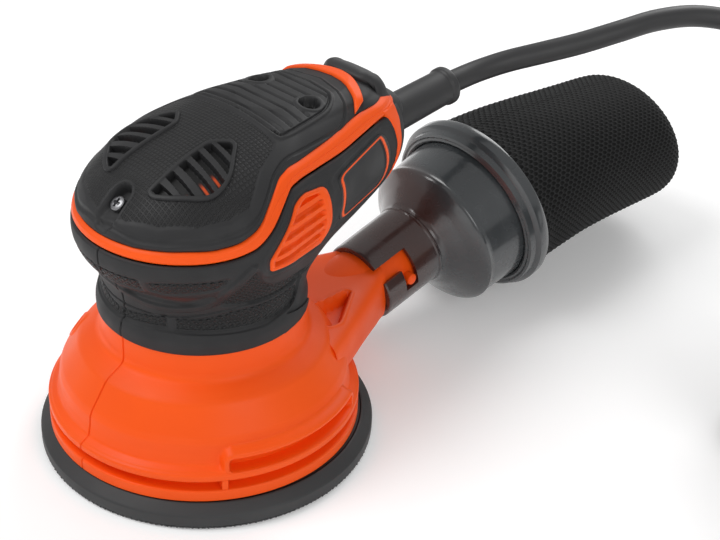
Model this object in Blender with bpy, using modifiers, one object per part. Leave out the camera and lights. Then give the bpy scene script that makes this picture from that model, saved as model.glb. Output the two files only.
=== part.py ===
"""Palm-grip random orbit sander with a dust canister and a mains cord."""

import math

import bmesh
import bpy
from mathutils import Matrix, Vector
from mathutils.geometry import interpolate_bezier

# Driving dimensions, in metres. The origin is on the motor axis in the plane of the sanding face.
GAP = 0.0003                 # clearance between touching pieces
PAD_RADIUS = 0.0625          # 125 mm sanding pad
ORBIT_OFFSET = 0.0012        # pad axis to motor axis, half of the 2.4 mm orbit
PAD_Y = ORBIT_OFFSET         # the pad axis lies behind the motor axis at rest
HOOK_TOP = 0.0012
FOAM_TOP = 0.0068
PLATEN_TOP = 0.0088
PLATEN_RADIUS = 0.0585
SKIRT_BOTTOM = 0.0094
SKIRT_RADIUS = 0.0577
NECK_TOP = 0.0570            # lower edge of the grip
WALL = 0.0024                # moulded housing wall
SKIN = 0.0020                # grip and cover skins
SEAM_X = 0.0025              # the clamshell parts beside the middle plane
BAND_WIDTH = 0.0046          # height of the housing's exposed band
BAND_DEPTH = 0.0005          # how far the band stands in from the skins
AROUND = 18                  # facets round half of a body section
GRIP_ROWS = (0.2, 0.4, 0.6, 0.75, 0.88)      # places of the wall's sections between its edges

PORT_MOUTH = Vector((0.0, 0.0837, 0.0309))   # where the canister's neck begins, on the port axis
PORT_TILT = math.radians(14.5)
PORT_RADIUS = 0.0146
PORT_BORE = 0.0120
PORT_END = 0.0150            # port length inside the canister's neck
PIN_RADIUS = 0.0022
PIN_REACH = 0.0009           # pin standing proud of the neck
NECK_OUTER = 0.0170
NECK_INNER = 0.0150
CANISTER_DROP = 0.0043       # the canister's own axis lies this far below the port's
CANISTER_SIDES = 28
CONE_START = 0.0250
CONE_END = 0.0400
COLLAR_AT = 0.0650
COLLAR_RADIUS = 0.0395
BAG_LENGTH = 0.1140
BAG_RADIUS = 0.0365
BAG_SAG = 0.0300

PORT_WEB_TILT = math.radians(-24)
SWITCH_TILT = math.radians(-38)
SWITCH_CENTRE = Vector((0.0, 0.0755, 0.1176))

RELIEF_START = Vector((0.0, 0.0920, 0.1010))
RELIEF_END = Vector((0.0, 0.1250, 0.1052))
RELIEF_RADIUS = 0.0070
CORD_RADIUS = 0.0046
CORD_ROUTE = [               # hand-chosen points: out of the sleeve in an arc, then down to the coil
    (0.0000, 0.1260, 0.1053), (0.0010, 0.1400, 0.1066), (0.0055, 0.1535, 0.1090),
    (0.0136, 0.1660, 0.1122), (0.0215, 0.1800, 0.1152), (0.0290, 0.1960, 0.1188),
    (0.0350, 0.2130, 0.1214), (0.0440, 0.2330, 0.1212), (0.0600, 0.2510, 0.1160),
    (0.0790, 0.2610, 0.1050), (0.0980, 0.2625, 0.0890), (0.1140, 0.2560, 0.0690),
    (0.1240, 0.2440, 0.0475), (0.1290, 0.2300, 0.0280), (0.1308, 0.2150, 0.0130),
    (0.1310, 0.1996, 0.0060),
]
COIL_CENTRE = Vector((0.168, 0.172, 0.0))
COIL_OUTER = 0.0418
COIL_INNER = 0.0322
COIL_HEIGHT = 0.0560
PLUG_LENGTH = 0.0340

BADGE_Z = 0.1010
BADGE_LENGTH = 0.0200
BADGE_HEIGHT = 0.0130
BADGE_LEAN = math.radians(-14)
SCREW_HEAD = 0.0030
COVER_SCREWS = [             # name, place of the head, and turn
    ("cover_screw_front", (0, -0.0340, 0.1095), (math.radians(38), 0, 0)),
    ("cover_screw_right", (0.0140, 0.0365, 0.1235), (0, math.radians(8), 0)),
    ("cover_screw_left", (-0.0140, 0.0365, 0.1235), (0, math.radians(-8), 0)),
]

collections = {}
materials = {}


# ---- scene, materials and placing -------------------------------------------------------------

def clear_scene():
    for item in list(bpy.data.objects):
        bpy.data.objects.remove(item, do_unlink=True)
    group = bpy.data.collections.new("orbital_sander")
    bpy.context.scene.collection.children.link(group)
    collections["orbital_sander"] = group


def material(name, colour, roughness, metallic=0.0):
    if name in materials:
        return materials[name]
    made = bpy.data.materials.new(name)
    made.use_nodes = True
    shader = made.node_tree.nodes["Principled BSDF"]
    shader.inputs["Base Color"].default_value = (*colour, 1.0)
    shader.inputs["Roughness"].default_value = roughness
    shader.inputs["Metallic"].default_value = metallic
    made.diffuse_color = (*colour, 1.0)
    materials[name] = made
    return made


def finish(item, look, smooth=True):
    for group in list(item.users_collection):
        group.objects.unlink(item)
    collections["orbital_sander"].objects.link(item)
    item.data.materials.clear()
    item.data.materials.append(look)
    if smooth:
        item.data.shade_smooth()
        item.data.set_sharp_from_angle(angle=math.radians(35))
    return item


def new_object(name, mesh, look, location=(0, 0, 0)):
    item = bpy.data.objects.new(name, mesh)
    item.location = location
    bpy.context.scene.collection.objects.link(item)
    return finish(item, look)


def carve(item, cutter, operation="DIFFERENCE", solver="EXACT"):
    """Cuts or joins one object with another, which is used up."""
    cutter.display_type = "WIRE"
    cutter.hide_render = True
    change = item.modifiers.new(operation.lower(), "BOOLEAN")
    change.operation = operation
    change.solver = solver
    change.object = cutter
    baked(item)
    work = bmesh.new()
    work.from_mesh(item.data)
    bmesh.ops.remove_doubles(work, verts=work.verts, dist=0.000002)
    bmesh.ops.dissolve_degenerate(work, edges=work.edges, dist=0.000002)
    work.to_mesh(item.data)
    work.free()
    bpy.data.objects.remove(cutter, do_unlink=True)


def baked(item):
    """Replaces an object's mesh by its evaluated one."""
    bpy.context.view_layer.update()
    graph = bpy.context.evaluated_depsgraph_get()
    mesh = bpy.data.meshes.new_from_object(item.evaluated_get(graph))
    item.modifiers.clear()
    item.data = mesh
    return item


# ---- basic shapes -----------------------------------------------------------------------------

def turned(name, profile, look, centre=(0, 0, 0), steps=24, tilt=0.0):
    """A profile of (radius, height) points turned round Z; it runs down the outer side."""
    mesh = bpy.data.meshes.new(name)
    points = [(radius, 0.0, height) for radius, height in profile]
    closed = all(radius > 0 for radius, _ in profile)
    edges = [(i, i + 1) for i in range(len(points) - 1)]
    if closed:
        edges.append((len(points) - 1, 0))
    mesh.from_pydata(points, edges, [])
    item = new_object(name, mesh, look, centre)
    item.rotation_euler = (tilt, 0, 0)
    screw = item.modifiers.new("turn", "SCREW")
    screw.axis = "Z"
    screw.steps = steps
    screw.render_steps = steps
    screw.use_merge_vertices = True
    screw.merge_threshold = 0.00001
    screw.use_normal_calculate = False
    baked(item)
    return finish(item, look)


def washer(name, outer, inner, bottom, top, look, centre=(0, 0, 0), steps=20, tilt=0.0):
    profile = [(inner, top), (outer, top), (outer, bottom), (inner, bottom)]
    return turned(name, profile, look, centre, steps, tilt)


def rod(name, radius, bottom, top, look, centre=(0, 0, 0), steps=16, tilt=0.0):
    profile = [(0.0, top), (radius, top), (radius, bottom), (0.0, bottom)]
    return turned(name, profile, look, centre, steps, tilt)


def block(name, size, centre, look, bevel=0.0, turn=(0, 0, 0)):
    mesh = bpy.data.meshes.new(name)
    work = bmesh.new()
    bmesh.ops.create_cube(work, size=1.0, matrix=Matrix.Diagonal((*size, 1.0)))
    work.to_mesh(mesh)
    work.free()
    item = new_object(name, mesh, look, centre)
    item.rotation_euler = turn
    if bevel:
        soften = item.modifiers.new("edges", "BEVEL")
        soften.width = bevel
        soften.segments = 2
    return item


def extruded(name, loops, depth, look, centre=(0, 0, 0), turn=(0, 0, 0)):
    """Flat outlines, holes among them, extruded to a depth along their normal."""
    flat = bpy.data.curves.new(name, "CURVE")
    flat.dimensions = "2D"
    flat.fill_mode = "BOTH"
    flat.extrude = depth / 2
    for loop in loops:
        spline = flat.splines.new("POLY")
        spline.points.add(len(loop) - 1)
        for point, (x, y) in zip(spline.points, loop):
            point.co = (x, y, 0.0, 1.0)
        spline.use_cyclic_u = True
    guide = bpy.data.objects.new(name + "_guide", flat)
    bpy.context.scene.collection.objects.link(guide)
    item = mesh_from_curve(name, guide, look)
    item.location = centre
    item.rotation_euler = turn
    return item


def mesh_from_curve(name, guide, look):
    bpy.context.view_layer.update()
    graph = bpy.context.evaluated_depsgraph_get()
    mesh = bpy.data.meshes.new_from_object(guide.evaluated_get(graph))
    work = bmesh.new()
    work.from_mesh(mesh)
    bmesh.ops.remove_doubles(work, verts=work.verts, dist=0.000005)
    work.to_mesh(mesh)
    work.free()
    item = new_object(name, mesh, look)
    item.matrix_world = guide.matrix_world.copy()
    bpy.data.objects.remove(guide, do_unlink=True)
    return item


def smooth_route(points, spacing):
    """Evenly spaced points on one smooth curve through the route's own points."""
    places = [Vector(point) for point in points]
    dense = []
    for i in range(len(places) - 1):
        before = places[max(i - 1, 0)]
        after = places[min(i + 2, len(places) - 1)]
        start_pull = (places[i + 1] - before) / 6
        end_pull = (after - places[i]) / 6
        dense += interpolate_bezier(places[i], places[i] + start_pull,
                                    places[i + 1] - end_pull, places[i + 1], 16)[:-1]
    dense.append(places[-1])
    total = sum((b - a).length for a, b in zip(dense, dense[1:]))
    count = max(2, round(total / spacing))
    even = [dense[0]]
    walked = 0.0
    for a, b in zip(dense, dense[1:]):
        step = (b - a).length
        while step and len(even) < count and walked + step >= len(even) * total / count:
            even.append(a.lerp(b, (len(even) * total / count - walked) / step))
        walked += step
    even.append(dense[-1])
    return even


def tube(name, points, radius, look, resolution=2):
    wire = bpy.data.curves.new(name, "CURVE")
    wire.dimensions = "3D"
    wire.bevel_depth = radius
    wire.bevel_resolution = resolution
    wire.use_fill_caps = True
    spline = wire.splines.new("POLY")
    spline.points.add(len(points) - 1)
    for point, place in zip(spline.points, points):
        point.co = (*place, 1.0)
    guide = bpy.data.objects.new(name + "_guide", wire)
    bpy.context.scene.collection.objects.link(guide)
    return mesh_from_curve(name, guide, look)


def lofted(name, rows, look, joined=False):
    """Skins a stack of closed rings of equal length; joined closes the last ring on the first."""
    mesh = bpy.data.meshes.new(name)
    work = bmesh.new()
    rings = [[work.verts.new(point) for point in row] for row in rows]
    pairs = list(zip(rings, rings[1:]))
    if joined:
        pairs.append((rings[-1], rings[0]))
    for lower, upper in pairs:
        for i in range(len(lower)):
            j = (i + 1) % len(lower)
            work.faces.new((lower[i], lower[j], upper[j], upper[i]))
    if not joined:
        work.faces.new(list(reversed(rings[0])))
        work.faces.new(rings[-1])
    bmesh.ops.recalc_face_normals(work, faces=work.faces)
    work.to_mesh(mesh)
    work.free()
    return new_object(name, mesh, look)


def halved(source, name, side, look):
    """The part of a closed shell on one side of the clamshell plane."""
    half = new_object(name, source.data.copy(), look)
    reach = 0.2
    middle = SEAM_X - side * (reach / 2 - GAP / 2)
    cutter = block(name + "_cutter", (reach, 0.4, 0.4), (middle, 0.05, 0.1), look)
    carve(half, cutter, solver="MANIFOLD")
    return half


# ---- the body's outer form ---------------------------------------------------------------------

# Each station is a tapered stadium: height, nose, front radius, tail, rear radius.
STATIONS = [
    (0.0570, -0.0376, 0.0376, 0.0376, 0.0376),
    (0.0610, -0.0376, 0.0376, 0.0377, 0.0375),
    (0.0650, -0.0366, 0.0366, 0.0372, 0.0364),
    (0.0720, -0.0364, 0.0364, 0.0420, 0.0330),
    (0.0780, -0.0384, 0.0376, 0.0540, 0.0290),
    (0.0840, -0.0436, 0.0400, 0.0700, 0.0262),
    (0.0900, -0.0456, 0.0416, 0.0820, 0.0250),
    (0.0960, -0.0452, 0.0418, 0.0880, 0.0246),
    (0.1020, -0.0430, 0.0410, 0.0900, 0.0240),
    (0.1080, -0.0384, 0.0386, 0.0892, 0.0232),
    (0.1140, -0.0306, 0.0352, 0.0862, 0.0226),
    (0.1190, -0.0200, 0.0305, 0.0812, 0.0215),
    (0.1230, -0.0060, 0.0245, 0.0752, 0.0196),
    (0.1255, 0.0070, 0.0190, 0.0702, 0.0170),
    (0.1270, 0.0190, 0.0124, 0.0645, 0.0122),
]

# The exposed band's lower edge, by place round the half section from nose to tail.
BAND_LINE = [(0.0, 0.0950), (0.30, 0.0955), (0.36, 0.0966), (0.44, 0.1012), (0.50, 0.1058), (0.56, 0.1098),
             (0.62, 0.1118), (0.72, 0.1124), (0.82, 0.1112), (1.0, 0.1095)]


def between(table, at):
    """Reads a table of rows whose first value rises, in straight steps between the rows."""
    if at <= table[0][0]:
        return table[0][1:]
    for low, high in zip(table, table[1:]):
        if at <= high[0]:
            mix = (at - low[0]) / (high[0] - low[0])
            return tuple(a + (b - a) * mix for a, b in zip(low[1:], high[1:]))
    return table[-1][1:]


def body_point(around, height, inset=0.0):
    """A point on the right half of the body; around runs from 0 at the nose to 1 at the tail."""
    nose, front, tail, rear = between(STATIONS, height)
    front_y = nose + front
    rear_y = tail - rear
    span = max(rear_y - front_y, 0.000001)
    lean = math.asin(max(-0.99, min(0.99, (front - rear) / span))) if span > abs(front - rear) else 0.0
    corner = math.pi / 2 + lean
    front = max(front - inset, 0.0005)
    rear = max(rear - inset, 0.0004)
    if around <= 0.5:
        angle = corner * around / 0.5
        return Vector((front * math.sin(angle), front_y - front * math.cos(angle), height))
    if around <= 0.72:
        mix = (around - 0.5) / 0.22
        start = Vector((front * math.sin(corner), front_y - front * math.cos(corner), height))
        end = Vector((rear * math.sin(corner), rear_y - rear * math.cos(corner), height))
        return start.lerp(end, mix)
    angle = corner + (math.pi - corner) * (around - 0.72) / 0.28
    return Vector((rear * math.sin(angle), rear_y - rear * math.cos(angle), height))


def body_ring(height_at, inset=0.0, drop=0.0):
    """A closed section, right side from nose to tail and left side back, height by place."""
    right = []
    for step in range(AROUND + 1):
        around = step / AROUND
        point = body_point(around, height_at(around), inset)
        point.z -= drop
        right.append(point)
    right[0].x = 0.0
    right[-1].x = 0.0
    left = [Vector((-point.x, point.y, point.z)) for point in reversed(right[1:-1])]
    return right + left


def band_height(around):
    return between(BAND_LINE, around)[0]


def level(height):
    return lambda around: height


def part_way(low, high, mix):
    """A height a fraction of the way between two heights that vary round the section."""
    return lambda around: low(around) + (high(around) - low(around)) * mix


# ---- housing, grips and cover -------------------------------------------------------------------

def circle_ring(radius, height):
    """A round section with the same points as a body ring."""
    ring = []
    for step in range(2 * AROUND):
        angle = math.pi * step / AROUND
        ring.append(Vector((radius * math.sin(angle), -radius * math.cos(angle), height)))
    return ring


def housing_rows():
    skirt = [
        (SKIRT_RADIUS, SKIRT_BOTTOM - 0.0006), (SKIRT_RADIUS, 0.0134), (0.0532, 0.0138), (0.0532, 0.0169),
        (SKIRT_RADIUS, 0.0173), (SKIRT_RADIUS, 0.0200), (0.0562, 0.0212), (0.0536, 0.0224), (0.0530, 0.0300),
        (0.0520, 0.0320), (0.0458, 0.0418), (0.0446, 0.0427), (0.0388, 0.0462), (0.0376, 0.0480),
        (0.0376, 0.0558),
    ]
    inner = [(0.0510, SKIRT_BOTTOM - 0.0006), (0.0506, 0.0296), (0.0438, 0.0400), (0.0372, 0.0440),
             (0.0350, 0.0470), (0.0350, 0.0560)]
    under = SKIN + 1.5 * GAP
    floor = level(NECK_TOP)
    band_low = band_height
    band_top = lambda around: band_height(around) + BAND_WIDTH
    rows = [circle_ring(radius, height) for radius, height in skirt]
    rows.append(body_ring(floor, under))
    for mix in GRIP_ROWS:
        rows.append(body_ring(part_way(floor, band_low, mix), under))
    rows.append(body_ring(band_low, under))
    rows.append(body_ring(band_low, BAND_DEPTH))
    rows.append(body_ring(band_top, BAND_DEPTH))
    rows.append(body_ring(band_top, under))
    wall = under + WALL
    rows.append(body_ring(band_top, wall))
    for mix in (1.0, *reversed(GRIP_ROWS), 0.0):
        rows.append(body_ring(part_way(floor, band_low, mix), wall))
    rows += [circle_ring(radius, height) for radius, height in reversed(inner)]
    return rows


def port_place(along, off=0.0, side=0.0):
    """A point measured along the port's axis from the canister's mouth, and square to it."""
    forward = Vector((0, math.cos(PORT_TILT), math.sin(PORT_TILT)))
    upward = Vector((0, -math.sin(PORT_TILT), math.cos(PORT_TILT)))
    return PORT_MOUTH + forward * along + upward * off + Vector((side, 0, 0))


def port_rod(name, radius, start, end, look):
    item = rod(name, radius, start, end, look, PORT_MOUTH, 24)
    item.rotation_euler = (PORT_TILT - math.pi / 2, 0, 0)
    return item


def switch_cutter(name, look):
    return block(name, (0.0212, 0.0222, 0.0300), SWITCH_CENTRE, look, 0.0, (SWITCH_TILT, 0, 0))


def sleeve_cutter(name, look):
    return rod(name, RELIEF_RADIUS + GAP, -0.030, 0.030, look, RELIEF_START, 24, sleeve_tilt() - math.pi / 2)


def make_housing(orange):
    shell = lofted("housing_shell", housing_rows(), orange, joined=True)
    carve(shell, port_rod("port_tube", PORT_RADIUS, -0.040, PORT_END, orange), "UNION")
    web = block("port_web", (0.0310, 0.0340, 0.0180), (0, 0.0580, 0.0312), orange, 0.0, (PORT_WEB_TILT, 0, 0))
    carve(shell, web, "UNION")
    hollow = [(0.0, 0.0434), (0.0368, 0.0434), (0.0434, 0.0395), (0.0502, 0.0293), (0.0507, 0.0), (0.0, 0.0)]
    carve(shell, turned("skirt_hollow", hollow, orange, steps=36))
    carve(shell, port_rod("port_bore", PORT_BORE, -0.060, PORT_END + 0.01, orange))
    carve(shell, block("under_skirt", (0.2, 0.2, 0.02), (0, 0, SKIRT_BOTTOM - 0.01), orange))
    for side, label in ((1, "right"), (-1, "left")):
        pin = rod("pin_" + label, PIN_RADIUS, 0.0, NECK_OUTER - PORT_BORE - 0.001 + PIN_REACH, orange,
                  port_place(0.0095, 0, side * (PORT_BORE + 0.001)), 12)
        pin.rotation_euler = (0, side * math.pi / 2, 0)
        carve(shell, pin, "UNION")
    carve(shell, sleeve_cutter("cord_hole", orange))
    carve(shell, switch_cutter("switch_opening", orange))
    halved(shell, "housing_right", 1, orange)
    halved(shell, "housing_left", -1, orange)
    bpy.data.objects.remove(shell, do_unlink=True)


def sleeve_tilt():
    run = RELIEF_END - RELIEF_START
    return math.atan2(run.z, run.y)


def make_grips(black, dark):
    floor = level(NECK_TOP)
    middle = [part_way(floor, band_height, mix) for mix in GRIP_ROWS]
    heights = [level(NECK_TOP + 2 * GAP), *middle, lambda around: band_height(around) - 3 * GAP]
    rows = [body_ring(height) for height in heights]
    rows += [body_ring(height, SKIN) for height in reversed(heights)]
    skin = lofted("grip_skin", rows, black, joined=True)
    carve(skin, sleeve_cutter("grip_cord_hole", black))
    for side, label in ((1, "right"), (-1, "left")):
        carve(skin, badge_block("pocket_" + label, side, 0.0022, 2 * GAP, black))
        badge_block("badge_" + label, side, 0.0014, 0.0, dark)
    halved(skin, "grip_right", 1, black)
    halved(skin, "grip_left", -1, black)
    bpy.data.objects.remove(skin, do_unlink=True)


def make_top_cover(black):
    bottom = lambda around: band_height(around) + BAND_WIDTH + 3 * GAP
    crown = level(STATIONS[-1][0])
    mixes = (0.0, 0.16, 0.32, 0.48, 0.64, 0.78, 0.9, 0.96, 1.0)
    outer = [body_ring(part_way(bottom, crown, mix)) for mix in mixes]
    inner = [body_ring(part_way(bottom, crown, mix), SKIN, SKIN * mix) for mix in mixes]
    rows = list(reversed(outer)) + inner
    cover = lofted("top_cover", rows, black)
    carve(cover, switch_cutter("cover_opening", black))
    for name, place, turn in COVER_SCREWS:
        carve(cover, screw_cutter(name + "_hole", place, turn, black))


# ---- switch, screws, badges, cord ---------------------------------------------------------------

def make_switch(black, dark):
    turn = (SWITCH_TILT, 0, 0)
    block("switch_rocker", (0.0200, 0.0210, 0.0070), SWITCH_CENTRE, black, 0.0028, turn)
    inward = Vector((0, math.sin(SWITCH_TILT), -math.cos(SWITCH_TILT)))
    block("switch_body", (0.0180, 0.0150, 0.0140), SWITCH_CENTRE + inward * 0.0125, dark, 0.0008, turn)


def make_screw(name, place, turn, look, head=0.0030, length=0.012):
    profile = [(0.0, 0.0), (head, -0.0004), (head, -0.0022), (0.0015, -0.0024), (0.0015, -length),
               (0.0, -length)]
    item = turned(name, profile, look, place, 12)
    item.rotation_euler = turn
    return item


def badge_block(name, side, thickness, margin, look):
    """A plate or its pocket in the tail's side, square to the side."""
    front = body_point(0.56, BADGE_Z)
    back = body_point(0.70, BADGE_Z)
    run = back - front
    centre = (front + back) / 2
    centre.x *= side
    turn = (0, side * BADGE_LEAN, -side * math.atan2(run.x, run.y))
    size = (thickness, BADGE_LENGTH + margin, BADGE_HEIGHT + margin)
    return block(name, size, centre, look, 0.0, turn)


def screw_cutter(name, place, turn, look):
    cutter = rod(name, SCREW_HEAD + 2 * GAP, -0.006, 0.006, look, place, 16)
    cutter.rotation_euler = turn
    return cutter


def make_cover_screws(steel):
    for name, place, turn in COVER_SCREWS:
        make_screw(name, place, turn, steel, SCREW_HEAD, 0.0075)


def make_cord(black, steel):
    tilt = sleeve_tilt() - math.pi / 2
    length = (RELIEF_END - RELIEF_START).length
    profile = [
        (CORD_RADIUS + GAP, length), (RELIEF_RADIUS + 0.0006, length),
        (RELIEF_RADIUS + 0.0006, length - 0.004), (RELIEF_RADIUS - 0.0006, length - 0.005),
        (RELIEF_RADIUS, 0.0), (RELIEF_RADIUS, -0.012), (CORD_RADIUS + GAP, -0.012),
    ]
    turned("strain_relief", profile, black, RELIEF_START, 24, tilt)
    route = smooth_route(CORD_ROUTE, 2.4 * CORD_RADIUS * 2)
    route[0] = Vector(CORD_ROUTE[0])
    tube("cord", route, CORD_RADIUS, black)
    ring = [(COIL_INNER, COIL_HEIGHT - 0.002), (COIL_INNER + 0.002, COIL_HEIGHT),
            (COIL_OUTER - 0.002, COIL_HEIGHT), (COIL_OUTER, COIL_HEIGHT - 0.002),
            (COIL_OUTER, 0.002), (COIL_OUTER - 0.002, 0.0), (COIL_INNER + 0.002, 0.0),
            (COIL_INNER, 0.002)]
    turned("cord_coil", ring, black, COIL_CENTRE, 28)
    plug_z = COIL_HEIGHT + GAP + 0.0075
    plug_y = COIL_CENTRE.y + 0.0040
    plug_x = COIL_CENTRE.x - (COIL_OUTER + COIL_INNER) / 2
    block("plug", (0.0240, PLUG_LENGTH, 0.0150), (plug_x, plug_y, plug_z), black, 0.004)
    for side, label in ((1, "right"), (-1, "left")):
        place = (plug_x + side * 0.00635, plug_y - PLUG_LENGTH / 2 - GAP - 0.0080, plug_z)
        block("plug_blade_" + label, (0.0015, 0.0160, 0.0066), place, steel)


# ---- motor and drive ----------------------------------------------------------------------------

def star(radius, root, teeth, hole):
    outline = []
    for tooth in range(teeth):
        for share, reach in ((0.0, root), (0.25, root), (0.35, radius), (0.9, radius)):
            angle = 2 * math.pi * (tooth + share) / teeth
            outline.append((reach * math.cos(angle), reach * math.sin(angle)))
    inside = [(hole * math.cos(2 * math.pi * i / 16), hole * math.sin(2 * math.pi * i / 16))
              for i in range(16)]
    return [outline, inside]


def make_motor(steel, copper, dark, brass):
    washer("field_core", 0.0285, 0.0180, 0.0600, 0.0840, steel)
    washer("field_winding_upper", 0.0270, 0.0190, 0.0843, 0.0890, copper)
    washer("field_winding_lower", 0.0270, 0.0190, 0.0552, 0.0597, copper)
    rod("motor_shaft", 0.0040, 0.0305, 0.1125, steel)
    extruded("armature_core", star(0.0172, 0.0145, 12, 0.0043), 0.0220, steel, (0, 0, 0.0720))
    washer("armature_winding", 0.0140, 0.0043, 0.0833, 0.0885, copper)
    washer("commutator", 0.0105, 0.0043, 0.0890, 0.0980, copper)
    for side, label in ((1, "right"), (-1, "left")):
        block("carbon_brush_" + label, (0.0110, 0.0060, 0.0050), (side * 0.0163, 0, 0.0935), dark)
        hole = [(-0.0033, -0.0028), (0.0033, -0.0028), (0.0033, 0.0028), (-0.0033, 0.0028)]
        wall = [(x * 1.35, y * 1.45) for x, y in hole]
        extruded("brush_holder_" + label, [wall, hole], 0.0120, brass, (side * 0.0180, 0, 0.0935),
                 (math.pi / 2, 0, math.pi / 2))
    bearing("upper_bearing", 0.0095, 0.0043, 0.1010, 0.1070, steel)
    bearing("lower_bearing", 0.0130, 0.0043, 0.0440, 0.0520, steel)
    washer("bearing_plate", 0.0325, 0.0133, 0.0455, 0.0500, dark)
    for side, label in ((1, "right"), (-1, "left")):
        make_screw("bearing_plate_screw_" + label, (side * 0.0230, 0, 0.0527), (0, 0, 0), steel, 0.0026, 0.0025)


def bearing(name, outer, inner, bottom, top, steel, centre=(0, 0, 0)):
    middle = (outer + inner) / 2
    washer(name + "_outer", outer, middle + GAP, bottom, top, steel, centre, 16)
    washer(name + "_inner", middle - GAP, inner, bottom, top, steel, centre, 16)


def make_drive(steel, dark, aluminium):
    extruded("fan", star(0.0400, 0.0180, 14, 0.0043), 0.0080, dark, (0, 0, 0.0370))
    hub = turned("eccentric_hub", [(0.0, 0.0300), (0.0140, 0.0300), (0.0170, 0.0280), (0.0170, 0.0150),
                                   (0.0, 0.0150)], aluminium, steps=28)
    carve(hub, rod("hub_socket", 0.0123, 0.0100, 0.0262, aluminium, (0, PAD_Y, 0), 28))
    lobe = []
    for step in range(17):
        angle = math.pi + math.pi * step / 16
        lobe.append((0.0360 * math.cos(angle), 0.0360 * math.sin(angle)))
    lobe += [(0.0176 * math.cos(math.pi * (2 - step / 16)), 0.0176 * math.sin(math.pi * (2 - step / 16)))
             for step in range(17)]
    extruded("counterweight", [lobe], 0.0060, steel, (0, 0, 0.0240))
    bearing("pad_bearing", 0.0120, 0.0043, 0.0165, 0.0255, steel, (0, PAD_Y, 0))


def make_pad(black, grey, hooks, rubber, steel):
    centre = (0, PAD_Y, 0)
    turned("hook_face", [(0.0, HOOK_TOP), (PAD_RADIUS, HOOK_TOP), (PAD_RADIUS, 0.0), (0.0, 0.0)],
           hooks, centre, 48)
    turned("pad_foam", [(0.0, FOAM_TOP), (0.0600, FOAM_TOP), (PAD_RADIUS, FOAM_TOP - 0.0018),
                        (PAD_RADIUS, HOOK_TOP + GAP), (0.0, HOOK_TOP + GAP)], black, centre, 48)
    turned("platen", [(0.0046, 0.0150), (0.0090, 0.0150), (0.0100, PLATEN_TOP + 0.0008), (0.0120, PLATEN_TOP),
                      (PLATEN_RADIUS, PLATEN_TOP), (PLATEN_RADIUS + 0.001, FOAM_TOP + GAP),
                      (0.0046, FOAM_TOP + GAP)], grey, centre, 36)
    rod("pad_spindle", 0.0040, FOAM_TOP + GAP, 0.0258, steel, centre, 20)
    for step in range(3):
        angle = 2 * math.pi * step / 3 + math.pi / 2
        place = (0.0320 * math.cos(angle), PAD_Y + 0.0320 * math.sin(angle), PLATEN_TOP + 0.0027)
        make_screw("pad_screw_%d" % (step + 1), place, (0, 0, 0), steel, 0.0040, 0.0024)
    turned("brake_ring", [(0.0430, 0.0135), (0.0485, 0.0135), (0.0502, PLATEN_TOP + GAP),
                          (0.0482, PLATEN_TOP + GAP), (0.0465, 0.0115), (0.0430, 0.0115)],
           rubber, (0, 0, 0), 24)


# ---- dust canister --------------------------------------------------------------------------------

def canister_ring(along, radius, drop, count=CANISTER_SIDES, level_by=0.0):
    """A round section square to the port's axis, lowered towards the canister's own axis."""
    ring = []
    for step in range(count):
        angle = 2 * math.pi * step / count
        point = port_place(along, radius * math.cos(angle) - drop, radius * math.sin(angle))
        point.z -= level_by
        ring.append(point)
    return ring


def make_canister(smoke):
    low = CANISTER_DROP
    outer = [(0.0, NECK_OUTER, 0.0), (0.012, NECK_OUTER, 0.0), (CONE_START, NECK_OUTER, 0.0),
             (0.0330, 0.0240, low * 0.5), (CONE_END, 0.0318, low), (0.0580, 0.0335, low),
             (0.0590, 0.0372, low), (0.0620, 0.0376, low), (0.0630, COLLAR_RADIUS, low),
             (COLLAR_AT + 0.0030, COLLAR_RADIUS, low)]
    inner = [(0.0, NECK_INNER, 0.0), (CONE_START + 0.001, NECK_INNER, 0.0), (0.0340, 0.0218, low * 0.5),
             (CONE_END + 0.001, 0.0300, low), (0.0600, 0.0318, low), (COLLAR_AT + 0.0030, 0.0322, low)]
    rows = [canister_ring(*row) for row in outer + list(reversed(inner))]
    funnel = lofted("canister_funnel", rows, smoke, joined=True)
    for side, label in ((1, "right"), (-1, "left")):
        slot = block("slot_" + label, (0.0120, 0.0264, 0.0062), port_place(0.0, -side * 0.0050, side * 0.0165),
                     smoke)
        slot.rotation_euler = (PORT_TILT, 0, 0)
        run = block("slot_run_" + label, (0.0120, 0.0062, 0.0107),
                    port_place(0.0101, -side * 0.00275, side * 0.0165), smoke)
        run.rotation_euler = (PORT_TILT, 0, 0)
        for cutter in (slot, run):
            carve(funnel, cutter)


def bag_ring(share, radius):
    """A section of the bag, which sags away from the collar's axis along its length."""
    start = COLLAR_AT + 0.0034
    return canister_ring(start + BAG_LENGTH * share, radius, CANISTER_DROP, CANISTER_SIDES, BAG_SAG * share ** 1.3)


def make_bag(black):
    outer = [(0.0, 0.0374), (0.03, 0.0374), (0.05, BAG_RADIUS), (0.35, 0.0346), (0.7, 0.0334), (0.90, 0.0329),
             (0.965, 0.0302), (1.0, 0.0240)]
    inner = [(0.0, 0.0322), (0.05, 0.0350), (0.35, 0.0332), (0.7, 0.0320), (0.89, 0.0314), (0.955, 0.0280),
             (0.98, 0.0230)]
    rows = [bag_ring(*row) for row in reversed(inner)] + [bag_ring(*row) for row in outer]
    lofted("dust_bag", rows, black)


# ---- assembly ---------------------------------------------------------------------------------------

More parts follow.
